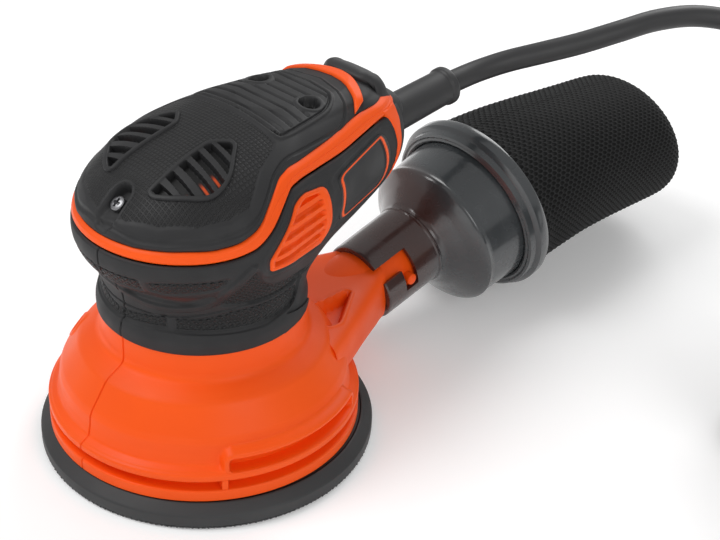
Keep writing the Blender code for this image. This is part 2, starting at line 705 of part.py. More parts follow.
def build():
    clear_scene()
    orange = material("orange_shell", (0.90, 0.13, 0.02), 0.42)
    black = material("black_grip", (0.035, 0.035, 0.037), 0.62)
    grey = material("grey_platen", (0.12, 0.12, 0.12), 0.5)
    smoke = material("smoked_canister", (0.07, 0.075, 0.08), 0.18)
    cord_black = material("cord_jacket", (0.04, 0.04, 0.042), 0.55)
    rubber = material("black_rubber", (0.03, 0.03, 0.03), 0.75)
    foam = material("pad_foam", (0.03, 0.03, 0.03), 0.85)
    hooks = material("hook_fabric", (0.02, 0.02, 0.02), 0.95)
    steel = material("steel", (0.55, 0.55, 0.56), 0.3, 1.0)
    copper = material("copper_winding", (0.72, 0.33, 0.16), 0.4, 1.0)
    brass = material("brass", (0.75, 0.58, 0.28), 0.35, 1.0)
    alloy = material("cast_aluminium", (0.6, 0.6, 0.61), 0.45, 1.0)
    bag = material("bag_mesh", (0.03, 0.03, 0.03), 0.9)
    make_housing(orange)
    make_grips(black, foam)
    make_top_cover(black)
    make_cover_screws(steel)
    make_switch(rubber, foam)
    make_cord(cord_black, steel)
    make_motor(steel, copper, grey, brass)
    make_drive(steel, grey, alloy)
    make_pad(foam, grey, hooks, rubber, steel)
    make_canister(smoke)
    make_bag(bag)


build()
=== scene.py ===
import math

import bpy
import numpy as np
from mathutils import Matrix, Vector


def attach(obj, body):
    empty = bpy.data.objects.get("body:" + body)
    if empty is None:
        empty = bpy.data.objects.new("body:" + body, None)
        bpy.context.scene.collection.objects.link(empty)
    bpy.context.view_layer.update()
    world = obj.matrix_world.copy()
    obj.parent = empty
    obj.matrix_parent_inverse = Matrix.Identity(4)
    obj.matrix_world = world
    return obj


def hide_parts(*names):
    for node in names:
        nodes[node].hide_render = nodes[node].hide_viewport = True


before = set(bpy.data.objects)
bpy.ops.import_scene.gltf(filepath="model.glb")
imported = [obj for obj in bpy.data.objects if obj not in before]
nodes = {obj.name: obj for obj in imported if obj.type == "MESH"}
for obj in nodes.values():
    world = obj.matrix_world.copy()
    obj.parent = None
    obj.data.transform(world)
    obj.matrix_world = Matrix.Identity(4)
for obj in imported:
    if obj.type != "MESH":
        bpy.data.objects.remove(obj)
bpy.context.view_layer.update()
print("frame loaded:", len(nodes), "nodes")


# camera, light and floor

view = {"lens": 70, "azimuth": 44.5, "elevation": 31.25, "roll": 2.66, "place": (0.3394, -0.2653, 0.3299)}


def makeCamera():
    turn, rise, roll = (math.radians(view[key]) for key in ("azimuth", "elevation", "roll"))
    back = Vector((math.sin(turn) * math.cos(rise), -math.cos(turn) * math.cos(rise), math.sin(rise)))
    level = Vector((math.cos(turn), math.sin(turn), 0))
    above = back.cross(level)
    right = level * math.cos(roll) + above * math.sin(roll)
    up = above * math.cos(roll) - level * math.sin(roll)
    data = bpy.data.cameras.new("studioCamera")
    data.lens = view["lens"]
    data.sensor_width = 36
    data.clip_start = 0.01
    camera = bpy.data.objects.new("studioCamera", data)
    bpy.context.scene.collection.objects.link(camera)
    camera.matrix_world = Matrix((right, up, back)).transposed().to_4x4()
    camera.location = view["place"]
    bpy.context.scene.camera = camera


studio = {
    "key": {"place": (-0.45, -0.70, 1.30), "size": 0.8, "power": 9.5},
    "side": {"place": (1.15, -0.15, 0.75), "size": 0.8, "power": 3.6},
    "rim": {"place": (-0.35, 1.25, 0.95), "size": 0.9, "power": 7},
    "low": {"place": (0.55, -1.0, 0.22), "size": 0.6, "power": 0.8},
    "sky": 0.50,
}


def makeLights():
    for name in ("key", "side", "rim", "low"):
        lamp = bpy.data.lights.new(name + "Light", "AREA")
        lamp.shape = "DISK"
        lamp.size = studio[name]["size"]
        lamp.energy = studio[name]["power"]
        item = bpy.data.objects.new(name + "Light", lamp)
        item.location = studio[name]["place"]
        item.rotation_euler = (Vector((0, 0.08, 0.05)) - item.location).to_track_quat("-Z", "Y").to_euler()
        bpy.context.scene.collection.objects.link(item)
    world = bpy.data.worlds.new("paleRoom")
    world.use_nodes = True
    sky = world.node_tree.nodes["Background"]
    sky.inputs["Color"].default_value = (1, 1, 1, 1)
    sky.inputs["Strength"].default_value = studio["sky"]
    bpy.context.scene.world = world
    bpy.context.scene.view_settings.view_transform = "Standard"


# materials: every finish is a node recipe

class Recipe:
    # Short calls for building one material's nodes.

    def __init__(self, name):
        self.material = bpy.data.materials.new(name)
        self.material.use_nodes = True
        self.tree = self.material.node_tree
        self.shader = self.tree.nodes["Principled BSDF"]
        self.place = self.node("ShaderNodeTexCoord").outputs["Object"]

    def node(self, kind, **values):
        made = self.tree.nodes.new(kind)
        for key, value in values.items():
            setattr(made, key, value)
        return made

    def feed(self, socket, value):
        if hasattr(value, "is_output"):
            self.tree.links.new(value, socket)
        else:
            socket.default_value = value

    def math(self, kind, *values):
        made = self.node("ShaderNodeMath", operation=kind)
        for socket, value in zip(made.inputs, values):
            self.feed(socket, value)
        return made.outputs[0]

    def noise(self, scale, detail=3.0, rough=0.5, stretch=None):
        made = self.node("ShaderNodeTexNoise")
        made.inputs["Scale"].default_value = scale
        made.inputs["Detail"].default_value = detail
        made.inputs["Roughness"].default_value = rough
        source = self.place
        if stretch:
            mapping = self.node("ShaderNodeMapping")
            mapping.inputs["Scale"].default_value = stretch
            self.feed(mapping.inputs["Vector"], source)
            source = mapping.outputs[0]
        self.feed(made.inputs["Vector"], source)
        return made.outputs["Fac"]

    def ramp(self, value, low, high, first=0.0, last=1.0):
        made = self.node("ShaderNodeMapRange", interpolation_type="SMOOTHSTEP")
        for socket, number in zip(made.inputs[:5], (value, low, high, first, last)):
            self.feed(socket, number)
        return made.outputs[0]

    def mix(self, share, first, last):
        made = self.node("ShaderNodeMix", data_type="RGBA")
        self.feed(made.inputs[0], share)
        self.feed(made.inputs[6], first if hasattr(first, "is_output") else (*first, 1))
        self.feed(made.inputs[7], last if hasattr(last, "is_output") else (*last, 1))
        return made.outputs[2]

    def attribute(self, name):
        return self.node("ShaderNodeAttribute", attribute_name=name).outputs["Fac"]

    def bump(self, height, distance, strength=1.0, before=None):
        made = self.node("ShaderNodeBump")
        made.inputs["Strength"].default_value = strength
        made.inputs["Distance"].default_value = distance
        self.feed(made.inputs["Height"], height)
        if before is not None:
            self.feed(made.inputs["Normal"], before)
        return made.outputs[0]

    def done(self, colour=None, rough=None, normal=None, fixed=None):
        if colour is not None:
            self.feed(self.shader.inputs["Base Color"], colour if hasattr(colour, "is_output") else (*colour, 1))
        if rough is not None:
            self.feed(self.shader.inputs["Roughness"], rough)
        if normal is not None:
            self.feed(self.shader.inputs["Normal"], normal)
        for socket, value in (fixed or {}).items():
            self.shader.inputs[socket].default_value = value
        return self.material


# Near-black colours here stand in for shade: the pit colours darken grooves, slot floors, screw wells and the weave's
# holes as painted shade.
finishes = {
    "orange": (0.930, 0.098, 0.004), "orangeDeep": (0.84, 0.076, 0.003),
    "black": (0.016, 0.016, 0.017), "blackWorn": (0.026, 0.026, 0.027), "blackGrooveShade": (0.004, 0.004, 0.004),
    "smoke": (0.040, 0.044, 0.047), "smokeWarm": (0.050, 0.014, 0.009),
    "ember": (0.075, 0.010, 0.005), "pitShade": (0.003, 0.003, 0.003),
    "thread": (0.017, 0.0175, 0.018), "threadHoleShade": (0.0008, 0.0008, 0.0008),
}


def mouldedPlastic(name, colour, second, rough, grain=0.00005, fixed=None):
    r = Recipe(name)
    cloudy = r.ramp(r.noise(18, 2), 0.3, 0.7)
    fine = r.noise(2600, 2, 0.6)
    shade = r.mix(r.math("MULTIPLY", cloudy, 0.55), colour, second)
    shine = r.ramp(r.noise(60, 3), 0.25, 0.75, rough - 0.05, rough + 0.06)
    # painted shade: the pit mark turns slot floors and hole bottoms near black
    shade = r.mix(r.attribute("pitShade"), shade, finishes["pitShade"])
    return r.done(shade, shine, r.bump(fine, grain, 0.6), fixed)


def rubberised(name, colour, second, rough, ember=None):
    # Black overmoulding: pebbled skin, worn lighter patches, and a cut pattern where the mesh asks, its grooves
    # darkened with painted shade.
    r = Recipe(name)
    u = r.attribute("across")
    v = r.attribute("along")
    cut = r.attribute("knurl")
    skew = r.math("ADD", u, v)
    other = r.math("SUBTRACT", u, v)
    pitch = 1.55
    first = r.math("PINGPONG", r.math("MULTIPLY", skew, 0.70), pitch / 2)
    last = r.math("PINGPONG", r.math("MULTIPLY", other, 0.70), pitch / 2)
    diamond = r.math("MULTIPLY", r.math("MINIMUM", first, last), 1.6)
    height = r.math("MULTIPLY", r.ramp(diamond, 0.12, 0.95), cut)
    pebble = r.noise(1900, 2, 0.55)
    normal = r.bump(height, 0.00055, 1.0, r.bump(pebble, 0.00006, 0.7))
    # painted shade: the grooves of the cut pattern are darkened towards near black
    grooveShade = r.math("MULTIPLY", r.math("SUBTRACT", 1.0, r.ramp(diamond, 0.05, 0.5)), cut)
    shade = r.mix(r.ramp(r.noise(42, 3), 0.35, 0.75, 0.0, 0.45), colour, second)
    shade = r.mix(r.ramp(pebble, 0.62, 0.72, 0.0, 0.5), shade, second)
    shade = r.mix(r.math("MULTIPLY", grooveShade, 0.75), shade, finishes["blackGrooveShade"])
    shade = r.mix(r.attribute("ember"), shade, ember or finishes["ember"])
    # painted shade: the pit mark turns hole bottoms near black
    shade = r.mix(r.attribute("pitShade"), shade, finishes["pitShade"])
    return r.done(shade, r.ramp(r.noise(90, 2), 0.3, 0.7, rough - 0.07, rough + 0.05), normal, {"Specular IOR Level": 0.35})


def studded(name, colour, second, rough):
    # The cover's skin: rows of little square studs, which turn into sunk rings towards the nose.
    r = Recipe(name)
    mask = r.attribute("studs")
    split = r.node("ShaderNodeSeparateXYZ")
    r.feed(split.inputs[0], r.place)
    pitch = 0.00150
    wide = r.math("ABSOLUTE", r.math("SUBTRACT", r.math("FRACT", r.math("DIVIDE", split.outputs[0], pitch)), 0.5))
    deep = r.math("ABSOLUTE", r.math("SUBTRACT", r.math("FRACT", r.math("DIVIDE", split.outputs[1], pitch)), 0.5))
    square = r.math("MAXIMUM", wide, deep)
    stud = r.math("SUBTRACT", 1.0, r.ramp(square, 0.26, 0.38))
    hollow = r.math("SUBTRACT", 1.0, r.ramp(square, 0.10, 0.20))
    nose = r.ramp(split.outputs[2], 0.1125, 0.1165, 1.0, 0.0)
    shape = r.math("SUBTRACT", stud, r.math("MULTIPLY", hollow, r.math("MULTIPLY", nose, 0.9)))
    height = r.math("MULTIPLY", shape, mask)
    pebble = r.noise(1900, 2, 0.55)
    normal = r.bump(height, 0.00045, 1.0, r.bump(pebble, 0.00005, 0.6))
    shade = r.mix(r.ramp(r.noise(42, 3), 0.35, 0.75, 0.0, 0.45), colour, second)
    # painted shade: the gaps between the studs and the hollows of the sunk rings are darkened towards near black
    gap = r.math("MULTIPLY", r.math("SUBTRACT", 1.0, shape), mask)
    shade = r.mix(r.math("MULTIPLY", gap, 0.55), shade, finishes["blackGrooveShade"])
    shade = r.mix(r.attribute("ember"), shade, finishes["orange"])
    # painted shade: the pit mark turns slot floors and screw-well floors near black
    shade = r.mix(r.attribute("pitShade"), shade, finishes["pitShade"])
    return r.done(shade, r.ramp(r.noise(90, 2), 0.3, 0.7, rough - 0.06, rough + 0.06), normal, {"Specular IOR Level": 0.35})


def smokedPlastic(name):
    r = Recipe(name)
    warm = r.ramp(r.noise(15, 1.5, 0.45), 0.54, 0.70)
    fine = r.noise(900, 2)
    shade = r.mix(r.math("MULTIPLY", warm, 0.8), finishes["smoke"], finishes["smokeWarm"])
    shade = r.mix(r.ramp(r.noise(55, 4), 0.4, 0.8, 0.0, 0.25), shade, (0.060, 0.066, 0.070))
    return r.done(shade, r.ramp(r.noise(120, 3), 0.3, 0.7, 0.20, 0.30), r.bump(fine, 0.00002, 0.5),
                  {"Coat Weight": 0.5, "Coat Roughness": 0.12})


def wovenMesh(name):
    # Open weave: short dark eyes in staggered rows between thin bright threads; the eyes' near-black is painted shade,
    # for the dark inside seen through the holes.
    r = Recipe(name)
    u = r.attribute("across")
    v = r.attribute("along")
    row = r.math("MULTIPLY", u, 1 / 1.75)
    odd = r.math("MULTIPLY", r.math("PINGPONG", r.math("FLOOR", row), 1.0), 0.5)
    cell = r.math("ADD", r.math("MULTIPLY", v, 1 / 3.4), odd)
    sideways = r.math("ABSOLUTE", r.math("SUBTRACT", r.math("FRACT", row), 0.5))
    lengthways = r.math("ABSOLUTE", r.math("SUBTRACT", r.math("FRACT", cell), 0.5))
    eye = r.math("ADD", r.math("POWER", r.math("MULTIPLY", sideways, 2.5), 2.0),
                 r.math("POWER", r.math("MULTIPLY", lengthways, 2.45), 2.0))
    thread = r.ramp(eye, 0.80, 1.35)
    strand = r.noise(5200, 3, 0.6, (1, 1, 1))
    shade = r.mix(thread, finishes["threadHoleShade"], finishes["thread"])
    shade = r.mix(r.math("MULTIPLY", r.ramp(strand, 0.45, 0.75), r.math("MULTIPLY", thread, 0.6)),
                  shade, (0.034, 0.035, 0.036))
    seam = r.attribute("seam")
    shade = r.mix(r.math("MULTIPLY", seam, 0.6), shade, (0.02, 0.02, 0.021))
    round_ = r.math("MULTIPLY", thread, r.math("ADD", 0.7, r.math("MULTIPLY", strand, 0.3)))
    return r.done(shade, 0.68, r.bump(round_, 0.0009, 1.0), {"Specular IOR Level": 0.18})


def metalled(name, colour, rough, stretch=(1, 1, 1), worn=0.12):
    r = Recipe(name)
    brushed = r.noise(700, 3, 0.6, stretch)
    stain = r.noise(45, 3)
    shade = r.mix(r.ramp(stain, 0.4, 0.8, 0.0, worn), colour, tuple(part * 0.45 for part in colour))
    return r.done(shade, r.ramp(brushed, 0.2, 0.8, rough - 0.08, rough + 0.1), r.bump(brushed, 0.00002, 0.5),
                  {"Metallic": 1.0})


def woundCopper(name):
    r = Recipe(name)
    wave = r.node("ShaderNodeTexWave", bands_direction="Z")
    wave.inputs["Scale"].default_value = 420
    wave.inputs["Distortion"].default_value = 1.2
    r.feed(wave.inputs["Vector"], r.place)
    # painted shade and highlight: the copper is darkened in the troughs between the wire's turns and lightened on
    # their crests, in step with the bump
    shade = r.mix(wave.outputs["Fac"], (0.30, 0.075, 0.03), (0.62, 0.22, 0.09))
    return r.done(shade, 0.32, r.bump(wave.outputs["Fac"], 0.0002, 0.8), {"Metallic": 0.8})


def hookPile(name):
    r = Recipe(name)
    loops = r.node("ShaderNodeTexVoronoi")
    loops.inputs["Scale"].default_value = 1300
    r.feed(loops.inputs["Vector"], r.place)
    shade = r.mix(r.ramp(loops.outputs["Distance"], 0.1, 0.6), (0.055, 0.055, 0.058), (0.008, 0.008, 0.009))
    return r.done(shade, 0.9, r.bump(loops.outputs["Distance"], 0.0005, 0.9), {"Sheen Weight": 0.4})


def foamCells(name):
    r = Recipe(name)
    cells = r.node("ShaderNodeTexVoronoi")
    cells.inputs["Scale"].default_value = 1500
    r.feed(cells.inputs["Vector"], r.place)
    # painted shade: the low centres of the cells, the pores, are darkened, and the cell rims are lighter
    shade = r.mix(r.ramp(cells.outputs["Distance"], 0.0, 0.5), (0.016, 0.016, 0.017), (0.040, 0.040, 0.042))
    return r.done(shade, 0.82, r.bump(cells.outputs["Distance"], 0.0002, 0.7))


looks = {
    "orangeShell": mouldedPlastic("orangeShell", finishes["orange"], finishes["orangeDeep"], 0.44, 0.00004,
                                  {"Specular IOR Level": 0.22}),
    "gripRubber": rubberised("gripRubber", finishes["black"], finishes["blackWorn"], 0.60),
    "coverSkin": studded("coverSkin", finishes["black"], finishes["blackWorn"], 0.56),
    "plainBlack": mouldedPlastic("plainBlack", finishes["black"], finishes["blackWorn"], 0.52, 0.00007),
    "deepBlack": mouldedPlastic("deepBlack", (0.006, 0.006, 0.007), (0.010, 0.010, 0.011), 0.75),
    "bootRubber": mouldedPlastic("bootRubber", (0.014, 0.014, 0.015), (0.024, 0.024, 0.025), 0.58, 0.00008),
    "jacketRubber": mouldedPlastic("jacketRubber", (0.022, 0.022, 0.023), (0.031, 0.031, 0.032), 0.48, 0.00006),
    "padGrey": mouldedPlastic("padGrey", (0.020, 0.021, 0.022), (0.032, 0.034, 0.035), 0.55, 0.00010),
    "smokedPlastic": smokedPlastic("smokedPlastic"),
    "bagWeave": wovenMesh("bagWeave"),
    "bladeBrass": metalled("bladeBrass", (0.72, 0.52, 0.24), 0.25, (1, 6, 1)),
    "screwSteel": metalled("screwSteel", (0.30, 0.30, 0.31), 0.36),
    "turnedSteel": metalled("turnedSteel", (0.55, 0.55, 0.56), 0.30, (1, 1, 8)),
    "castAlloy": metalled("castAlloy", (0.42, 0.43, 0.44), 0.48, worn=0.3),
    "holderBrass": metalled("holderBrass", (0.60, 0.42, 0.18), 0.35, (4, 1, 1)),
    "copperWire": woundCopper("copperWire"),
    "brushCarbon": mouldedPlastic("brushCarbon", (0.015, 0.015, 0.016), (0.03, 0.03, 0.03), 0.6, 0.0001),
    "plateGrey": mouldedPlastic("plateGrey", (0.16, 0.16, 0.17), (0.21, 0.21, 0.22), 0.5),
    "brakeRubber": mouldedPlastic("brakeRubber", (0.02, 0.02, 0.02), (0.035, 0.035, 0.035), 0.7, 0.0001),
    "hookPile": hookPile("hookPile"),
    "foamCells": foamCells("foamCells"),
    "badgeSkin": rubberised("badgeSkin", (0.012, 0.012, 0.013), (0.018, 0.018, 0.019), 0.42, finishes["orange"]),
    "paleFloor": mouldedPlastic("paleFloor", (0.95, 0.95, 0.95), (0.93, 0.93, 0.93), 0.8, 0.00001,
                                {"Emission Color": (1, 1, 1, 1), "Emission Strength": 0.16}),
    "tiePlastic": mouldedPlastic("tiePlastic", (0.05, 0.05, 0.05), (0.07, 0.07, 0.07), 0.45),
}
print("finishes mixed:", len(looks))


# building blocks

def addPiece(name, points, faces, look, body, smooth=True, sharp=38, slot=None, marks=None):
    mesh = bpy.data.meshes.new(name)
    mesh.from_pydata(np.asarray(points, float).tolist(), [], [tuple(face) for face in faces])
    for key, values in (marks or {}).items():
        layer = mesh.attributes.new(key, "FLOAT", "POINT")
        layer.data.foreach_set("value", np.asarray(values, np.float32).ravel())
    mesh.validate()
    mesh.update()
    piece = bpy.data.objects.new(name, mesh)
    bpy.context.scene.collection.objects.link(piece)
    mesh.materials.append(looks[look])
    if smooth:
        mesh.shade_smooth()
        mesh.set_sharp_from_angle(angle=math.radians(sharp))
    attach(piece, body)
    return piece


def gridFaces(rows, columns, wrapRows=False, wrapColumns=False):
    faces = []
    for i in range(rows if wrapRows else rows - 1):
        k = (i + 1) % rows
        for j in range(columns if wrapColumns else columns - 1):
            m = (j + 1) % columns
            faces.append((i * columns + j, i * columns + m, k * columns + m, k * columns + j))
    return faces


def gridNormals(points, wrap):
    # Unit normals of a grid of points, its columns closed round if wrap.
    if wrap:
        across = np.roll(points, -1, 1) - np.roll(points, 1, 1)
    else:
        across = np.gradient(points, axis=1)
    normals = np.cross(across, np.gradient(points, axis=0))
    return normals / np.maximum(np.linalg.norm(normals, axis=2, keepdims=True), 1e-12)


def addGrid(name, points, look, body, wrap=False, lids=False, **more):
    rows, columns = points.shape[:2]
    faces = gridFaces(rows, columns, False, wrap)
    if lids:
        faces.append(tuple(reversed(range(columns))))
        faces.append(tuple((rows - 1) * columns + j for j in range(columns)))
    return addPiece(name, points.reshape(-1, 3), faces, look, body, **more)


def step(values, low, high):
    share = np.clip((values - low) / (high - low), 0, 1)
    return share * share * (3 - 2 * share)


def softened(outline, times=3, closed=True):
    # Cuts an outline's corners again and again until it is round.
    points = [np.array(point, float) for point in outline]
    for _ in range(times):
        nextOnes = []
        pairs = list(zip(points, points[1:] + points[:1] if closed else points[1:]))
        for a, b in pairs:
            nextOnes += [a * 0.78 + b * 0.22, a * 0.22 + b * 0.78]
        if not closed:
            nextOnes = [points[0]] + nextOnes[1:-1] + [points[-1]]
        points = nextOnes
    return points


def roundedOutline(outline, radius=1.6, parts=5):
    # rounds a closed outline's corners, keeping the rest of its sides
    points = [np.array(point, float) for point in outline]
    made = []
    for before, here, after in zip(points[-1:] + points[:-1], points, points[1:] + points[:1]):
        back, on = before - here, after - here
        cut = min(radius, np.linalg.norm(back) * 0.45, np.linalg.norm(on) * 0.45)
        start, end = here + back / np.linalg.norm(back) * cut, here + on / np.linalg.norm(on) * cut
        for k in range(parts + 1):
            t = k / parts
            made.append(start * (1 - t) ** 2 + here * 2 * t * (1 - t) + end * t ** 2)
    return made


def pathDistance(x, y, path, closed=False):
    nearest = np.full(x.shape, 1e9)
    ends = path[1:] + path[:1] if closed else path[1:]
    for a, b in zip(path, ends):
        run = np.asarray(b, float) - np.asarray(a, float)
        share = np.clip(((x - a[0]) * run[0] + (y - a[1]) * run[1]) / max(run @ run, 1e-12), 0, 1)
        nearest = np.minimum(nearest, np.hypot(x - a[0] - share * run[0], y - a[1] - share * run[1]))
    return nearest


def outlineDistance(x, y, outline):
    # Distance to a closed outline, negative inside it.
    inside = np.zeros(x.shape, bool)
    for (ax, ay), (bx, by) in zip(outline, outline[1:] + outline[:1]):
        crosses = (ay > y) != (by > y)
        inside ^= crosses & (x < (bx - ax) * (y - ay) / (by - ay + 1e-12) + ax)
    return np.where(inside, -1, 1) * pathDistance(x, y, outline, True)


def ridge(distance, width, height):
    return height * (1 - step(np.abs(distance), width * 0.22, width * 0.5))


def smoothTable(rows, at):
    # Reads a table whose first value rises, along a smooth curve through its rows.
    table = np.array(rows, float)
    keys, values = table[:, 0], table[:, 1:]
    slopes = np.stack([np.gradient(column, keys) for column in values.T], 1)
    at = np.clip(at, keys[0], keys[-1])
    i = np.clip(np.searchsorted(keys, at) - 1, 0, len(keys) - 2)
    gap = (keys[i + 1] - keys[i])[..., None]
    t = (at - keys[i])[..., None] / gap
    return ((2 * t ** 3 - 3 * t ** 2 + 1) * values[i] + (t ** 3 - 2 * t ** 2 + t) * gap * slopes[i]
            + (3 * t ** 2 - 2 * t ** 3) * values[i + 1] + (t ** 3 - t ** 2) * gap * slopes[i + 1])


def smoothLine(points, spacing):
    # Evenly spaced points on a smooth curve through given ones, which may be any distance apart.
    points = np.array(points, float)
    reach = np.concatenate([[0], np.cumsum(np.linalg.norm(np.diff(points, axis=0), axis=1))])
    fine = smoothTable(np.column_stack([reach, points]), np.linspace(0, reach[-1], max(40, len(points) * 24)))
    walked = np.concatenate([[0], np.cumsum(np.linalg.norm(np.diff(fine, axis=0), axis=1))])
    even = np.linspace(0, walked[-1], max(2, round(walked[-1] / spacing) + 1))
    return np.stack([np.interp(even, walked, fine[:, k]) for k in range(fine.shape[1])], 1)


def turned(name, profile, look, body, origin=(0, 0, 0), axis=(0, 0, 1), sides=96, lids=True, **more):
    # A profile of (radius, height) points turned round an axis through origin.
    profile = np.array(profile, float)
    along = Vector(axis).normalized()
    spin = along.to_track_quat("Z", "Y").to_matrix()
    angles = np.linspace(0, 2 * math.pi, sides, endpoint=False)
    ring = np.stack([profile[:, :1] * np.cos(angles), profile[:, :1] * np.sin(angles),
                     np.repeat(profile[:, 1:], sides, 1)], 2)
    points = ring @ np.array(spin).T + np.array(origin)
    return addGrid(name, points, look, body, wrap=True, lids=lids, **more)


def rounded(profile, radius=0.0004, parts=4):
    # Rounds the corners of a profile of (radius, height) points.
    points = [np.array(point, float) for point in profile]
    made = [points[0]]
    for before, here, after in zip(points, points[1:], points[2:]):
        back, on = before - here, after - here
        cut = min(radius, np.linalg.norm(back) * 0.45, np.linalg.norm(on) * 0.45)
        start = here + back / np.linalg.norm(back) * cut
        end = here + on / np.linalg.norm(on) * cut
        for k in range(parts + 1):
            t = k / parts
            made.append(start * (1 - t) ** 2 + here * 2 * t * (1 - t) + end * t ** 2)
    made.append(points[-1])
    return made


def ribbon(name, line, normals, shape, look, body, closed=False, **more):
    # Sweeps a small section of (sideways, up) points along a line that lies on a surface.
    line, normals = np.array(line, float), np.array(normals, float)
    if closed:
        ahead = np.roll(line, -1, 0) - np.roll(line, 1, 0)
    else:
        ahead = np.gradient(line, axis=0)
    sideways = np.cross(normals, ahead)
    sideways /= np.maximum(np.linalg.norm(sideways, axis=1, keepdims=True), 1e-12)
    section = np.array(shape, float)
    points = (line[:, None] + sideways[:, None] * section[None, :, :1] + normals[:, None] * section[None, :, 1:])
    rows, columns = points.shape[:2]
    faces = gridFaces(rows, columns, closed, True)
    if not closed:
        faces.append(tuple(reversed(range(columns))))
        faces.append(tuple((rows - 1) * columns + j for j in range(columns)))
    return addPiece(name, points.reshape(-1, 3), faces, look, body, **more)


def barSection(width, height, depth, edge=0.0003):
    # A bar's section: rounded top edges, height above the surface and depth below it.
    half = width / 2
    return [(-half, -depth), (half, -depth), (half, height - edge), (half - edge * 0.3, height - edge * 0.3),
            (half - edge, height), (-half + edge, height), (-half + edge * 0.3, height - edge * 0.3),
            (-half, height - edge)]


def softBlock(name, size, centre, turn, look, body, bevel=0.001, parts=3, **more):
    # A block whose edges are rolled over, placed by a turn of its own.
    half = np.array(size) / 2
    core = half - bevel
    count = 4 * (parts + 1)
    rows = []
    for level in range(parts + 1):
        lean = math.pi / 2 * level / parts
        rows.append((core[2] + bevel * math.cos(lean), bevel * math.sin(lean)))
    rows = rows + [(-z, out) for z, out in reversed(rows)]
    points = []
    for z, out in rows:
        for k in range(count):
            corner, part = divmod(k, parts + 1)
            angle = math.pi / 2 * (corner + part / parts)
            sx = 1 if corner in (0, 3) else -1
            sy = 1 if corner in (0, 1) else -1
            points.append((sx * core[0] + out * math.cos(angle), sy * core[1] + out * math.sin(angle), z))
    points = np.array(points) @ np.array(Matrix(turn).to_3x3() if not isinstance(turn, Matrix) else turn).T
    points = points.reshape(len(rows), count, 3)[::-1] + np.array(centre)
    return addGrid(name, points, look, body, wrap=True, lids=True, **more)


# the body's form

# height, nose, front radius, tail, rear radius
stations = [
    (0.0570, -0.0376, 0.0376, 0.0376, 0.0376), (0.0610, -0.0376, 0.0376, 0.0377, 0.0375),
    (0.0650, -0.0366, 0.0366, 0.0372, 0.0364), (0.0720, -0.0364, 0.0364, 0.0420, 0.0330),
    (0.0780, -0.0384, 0.0376, 0.0540, 0.0290), (0.0840, -0.0436, 0.0400, 0.0700, 0.0262),
    (0.0900, -0.0456, 0.0416, 0.0820, 0.0250), (0.0960, -0.0452, 0.0418, 0.0880, 0.0246),
    (0.1020, -0.0430, 0.0410, 0.0900, 0.0240), (0.1080, -0.0384, 0.0386, 0.0892, 0.0232),
    (0.1140, -0.0306, 0.0352, 0.0862, 0.0226), (0.1190, -0.0200, 0.0305, 0.0812, 0.0215),
    (0.1230, -0.0060, 0.0245, 0.0752, 0.0196), (0.1255, 0.0070, 0.0190, 0.0702, 0.0170),
    (0.1270, 0.0190, 0.0124, 0.0645, 0.0122),
]
bandLow = [(0, 0.0954), (0.22, 0.0956), (0.30, 0.0961), (0.36, 0.0972), (0.39, 0.0984), (0.42, 0.1015),
           (0.46, 0.1072), (0.485, 0.1112), (0.51, 0.1124), (0.55, 0.1127), (0.61, 0.1129), (0.67, 0.1145),
           (0.72, 0.1158), (0.80, 0.1158), (1, 0.1150)]
bandHigh = [(0, 0.0990), (0.15, 0.0993), (0.22, 0.0998), (0.30, 0.1002), (0.36, 0.1020), (0.40, 0.1058),
            (0.42, 0.1106), (0.437, 0.1148), (0.462, 0.1166), (0.52, 0.1173), (0.62, 0.1190), (0.68, 0.1204),
            (0.76, 0.1206), (1, 0.1200)]
neckTop = 0.0570
seamX = 0.0025


def bodyPoint(around, height, inset=0.0, flat=0.0):
    # Points of the body: around runs from 0 at the nose to 1 at the tail, negative on the left side.
    # flat draws the section in to its own spine, for the cap over the crown.
    around, height = np.broadcast_arrays(np.asarray(around, float), np.asarray(height, float))
    side, place = np.where(around < 0, -1.0, 1.0), np.abs(around)
    row = smoothTable(stations, height)
    nose, front, tail, rear = (row[..., k] for k in range(4))
    frontY, rearY = nose + front, tail - rear
    span = np.maximum(rearY - frontY, 1e-6)
    lean = np.where(span > np.abs(front - rear), np.arcsin(np.clip((front - rear) / span, -0.99, 0.99)), 0)
    corner = math.pi / 2 + lean
    front = np.maximum(front - inset, 0.0003) * (1 - flat)
    rear = np.maximum(rear - inset, 0.0003) * (1 - flat)
    first = corner * place / 0.5
    last = corner + (math.pi - corner) * (place - 0.72) / 0.28
    share = (place - 0.5) / 0.22
    x = np.where(place <= 0.5, front * np.sin(first),
                 np.where(place <= 0.72, (front + (rear - front) * share) * np.sin(corner), rear * np.sin(last)))
    y = np.where(place <= 0.5, frontY - front * np.cos(first),
                 np.where(place <= 0.72, (frontY - front * np.cos(corner)) * (1 - share)
                          + (rearY - rear * np.cos(corner)) * share, rearY - rear * np.cos(last)))
    return np.stack([x * side, y, height], -1)


def bandEdge(table, around):
    return smoothTable(table, np.abs(around))[..., 0]


def onBody(around, height):
    # A point of the body and the surface's normal there.
    around, height = np.asarray(around, float), np.asarray(height, float)
    here = bodyPoint(around, height)
    sideways = bodyPoint(around + 0.004, height) - bodyPoint(around - 0.004, height)
    upwards = bodyPoint(around, height + 0.0004) - bodyPoint(around, height - 0.0004)
    normal = np.cross(sideways, upwards)
    return here, normal / np.maximum(np.linalg.norm(normal, axis=-1, keepdims=True), 1e-12)


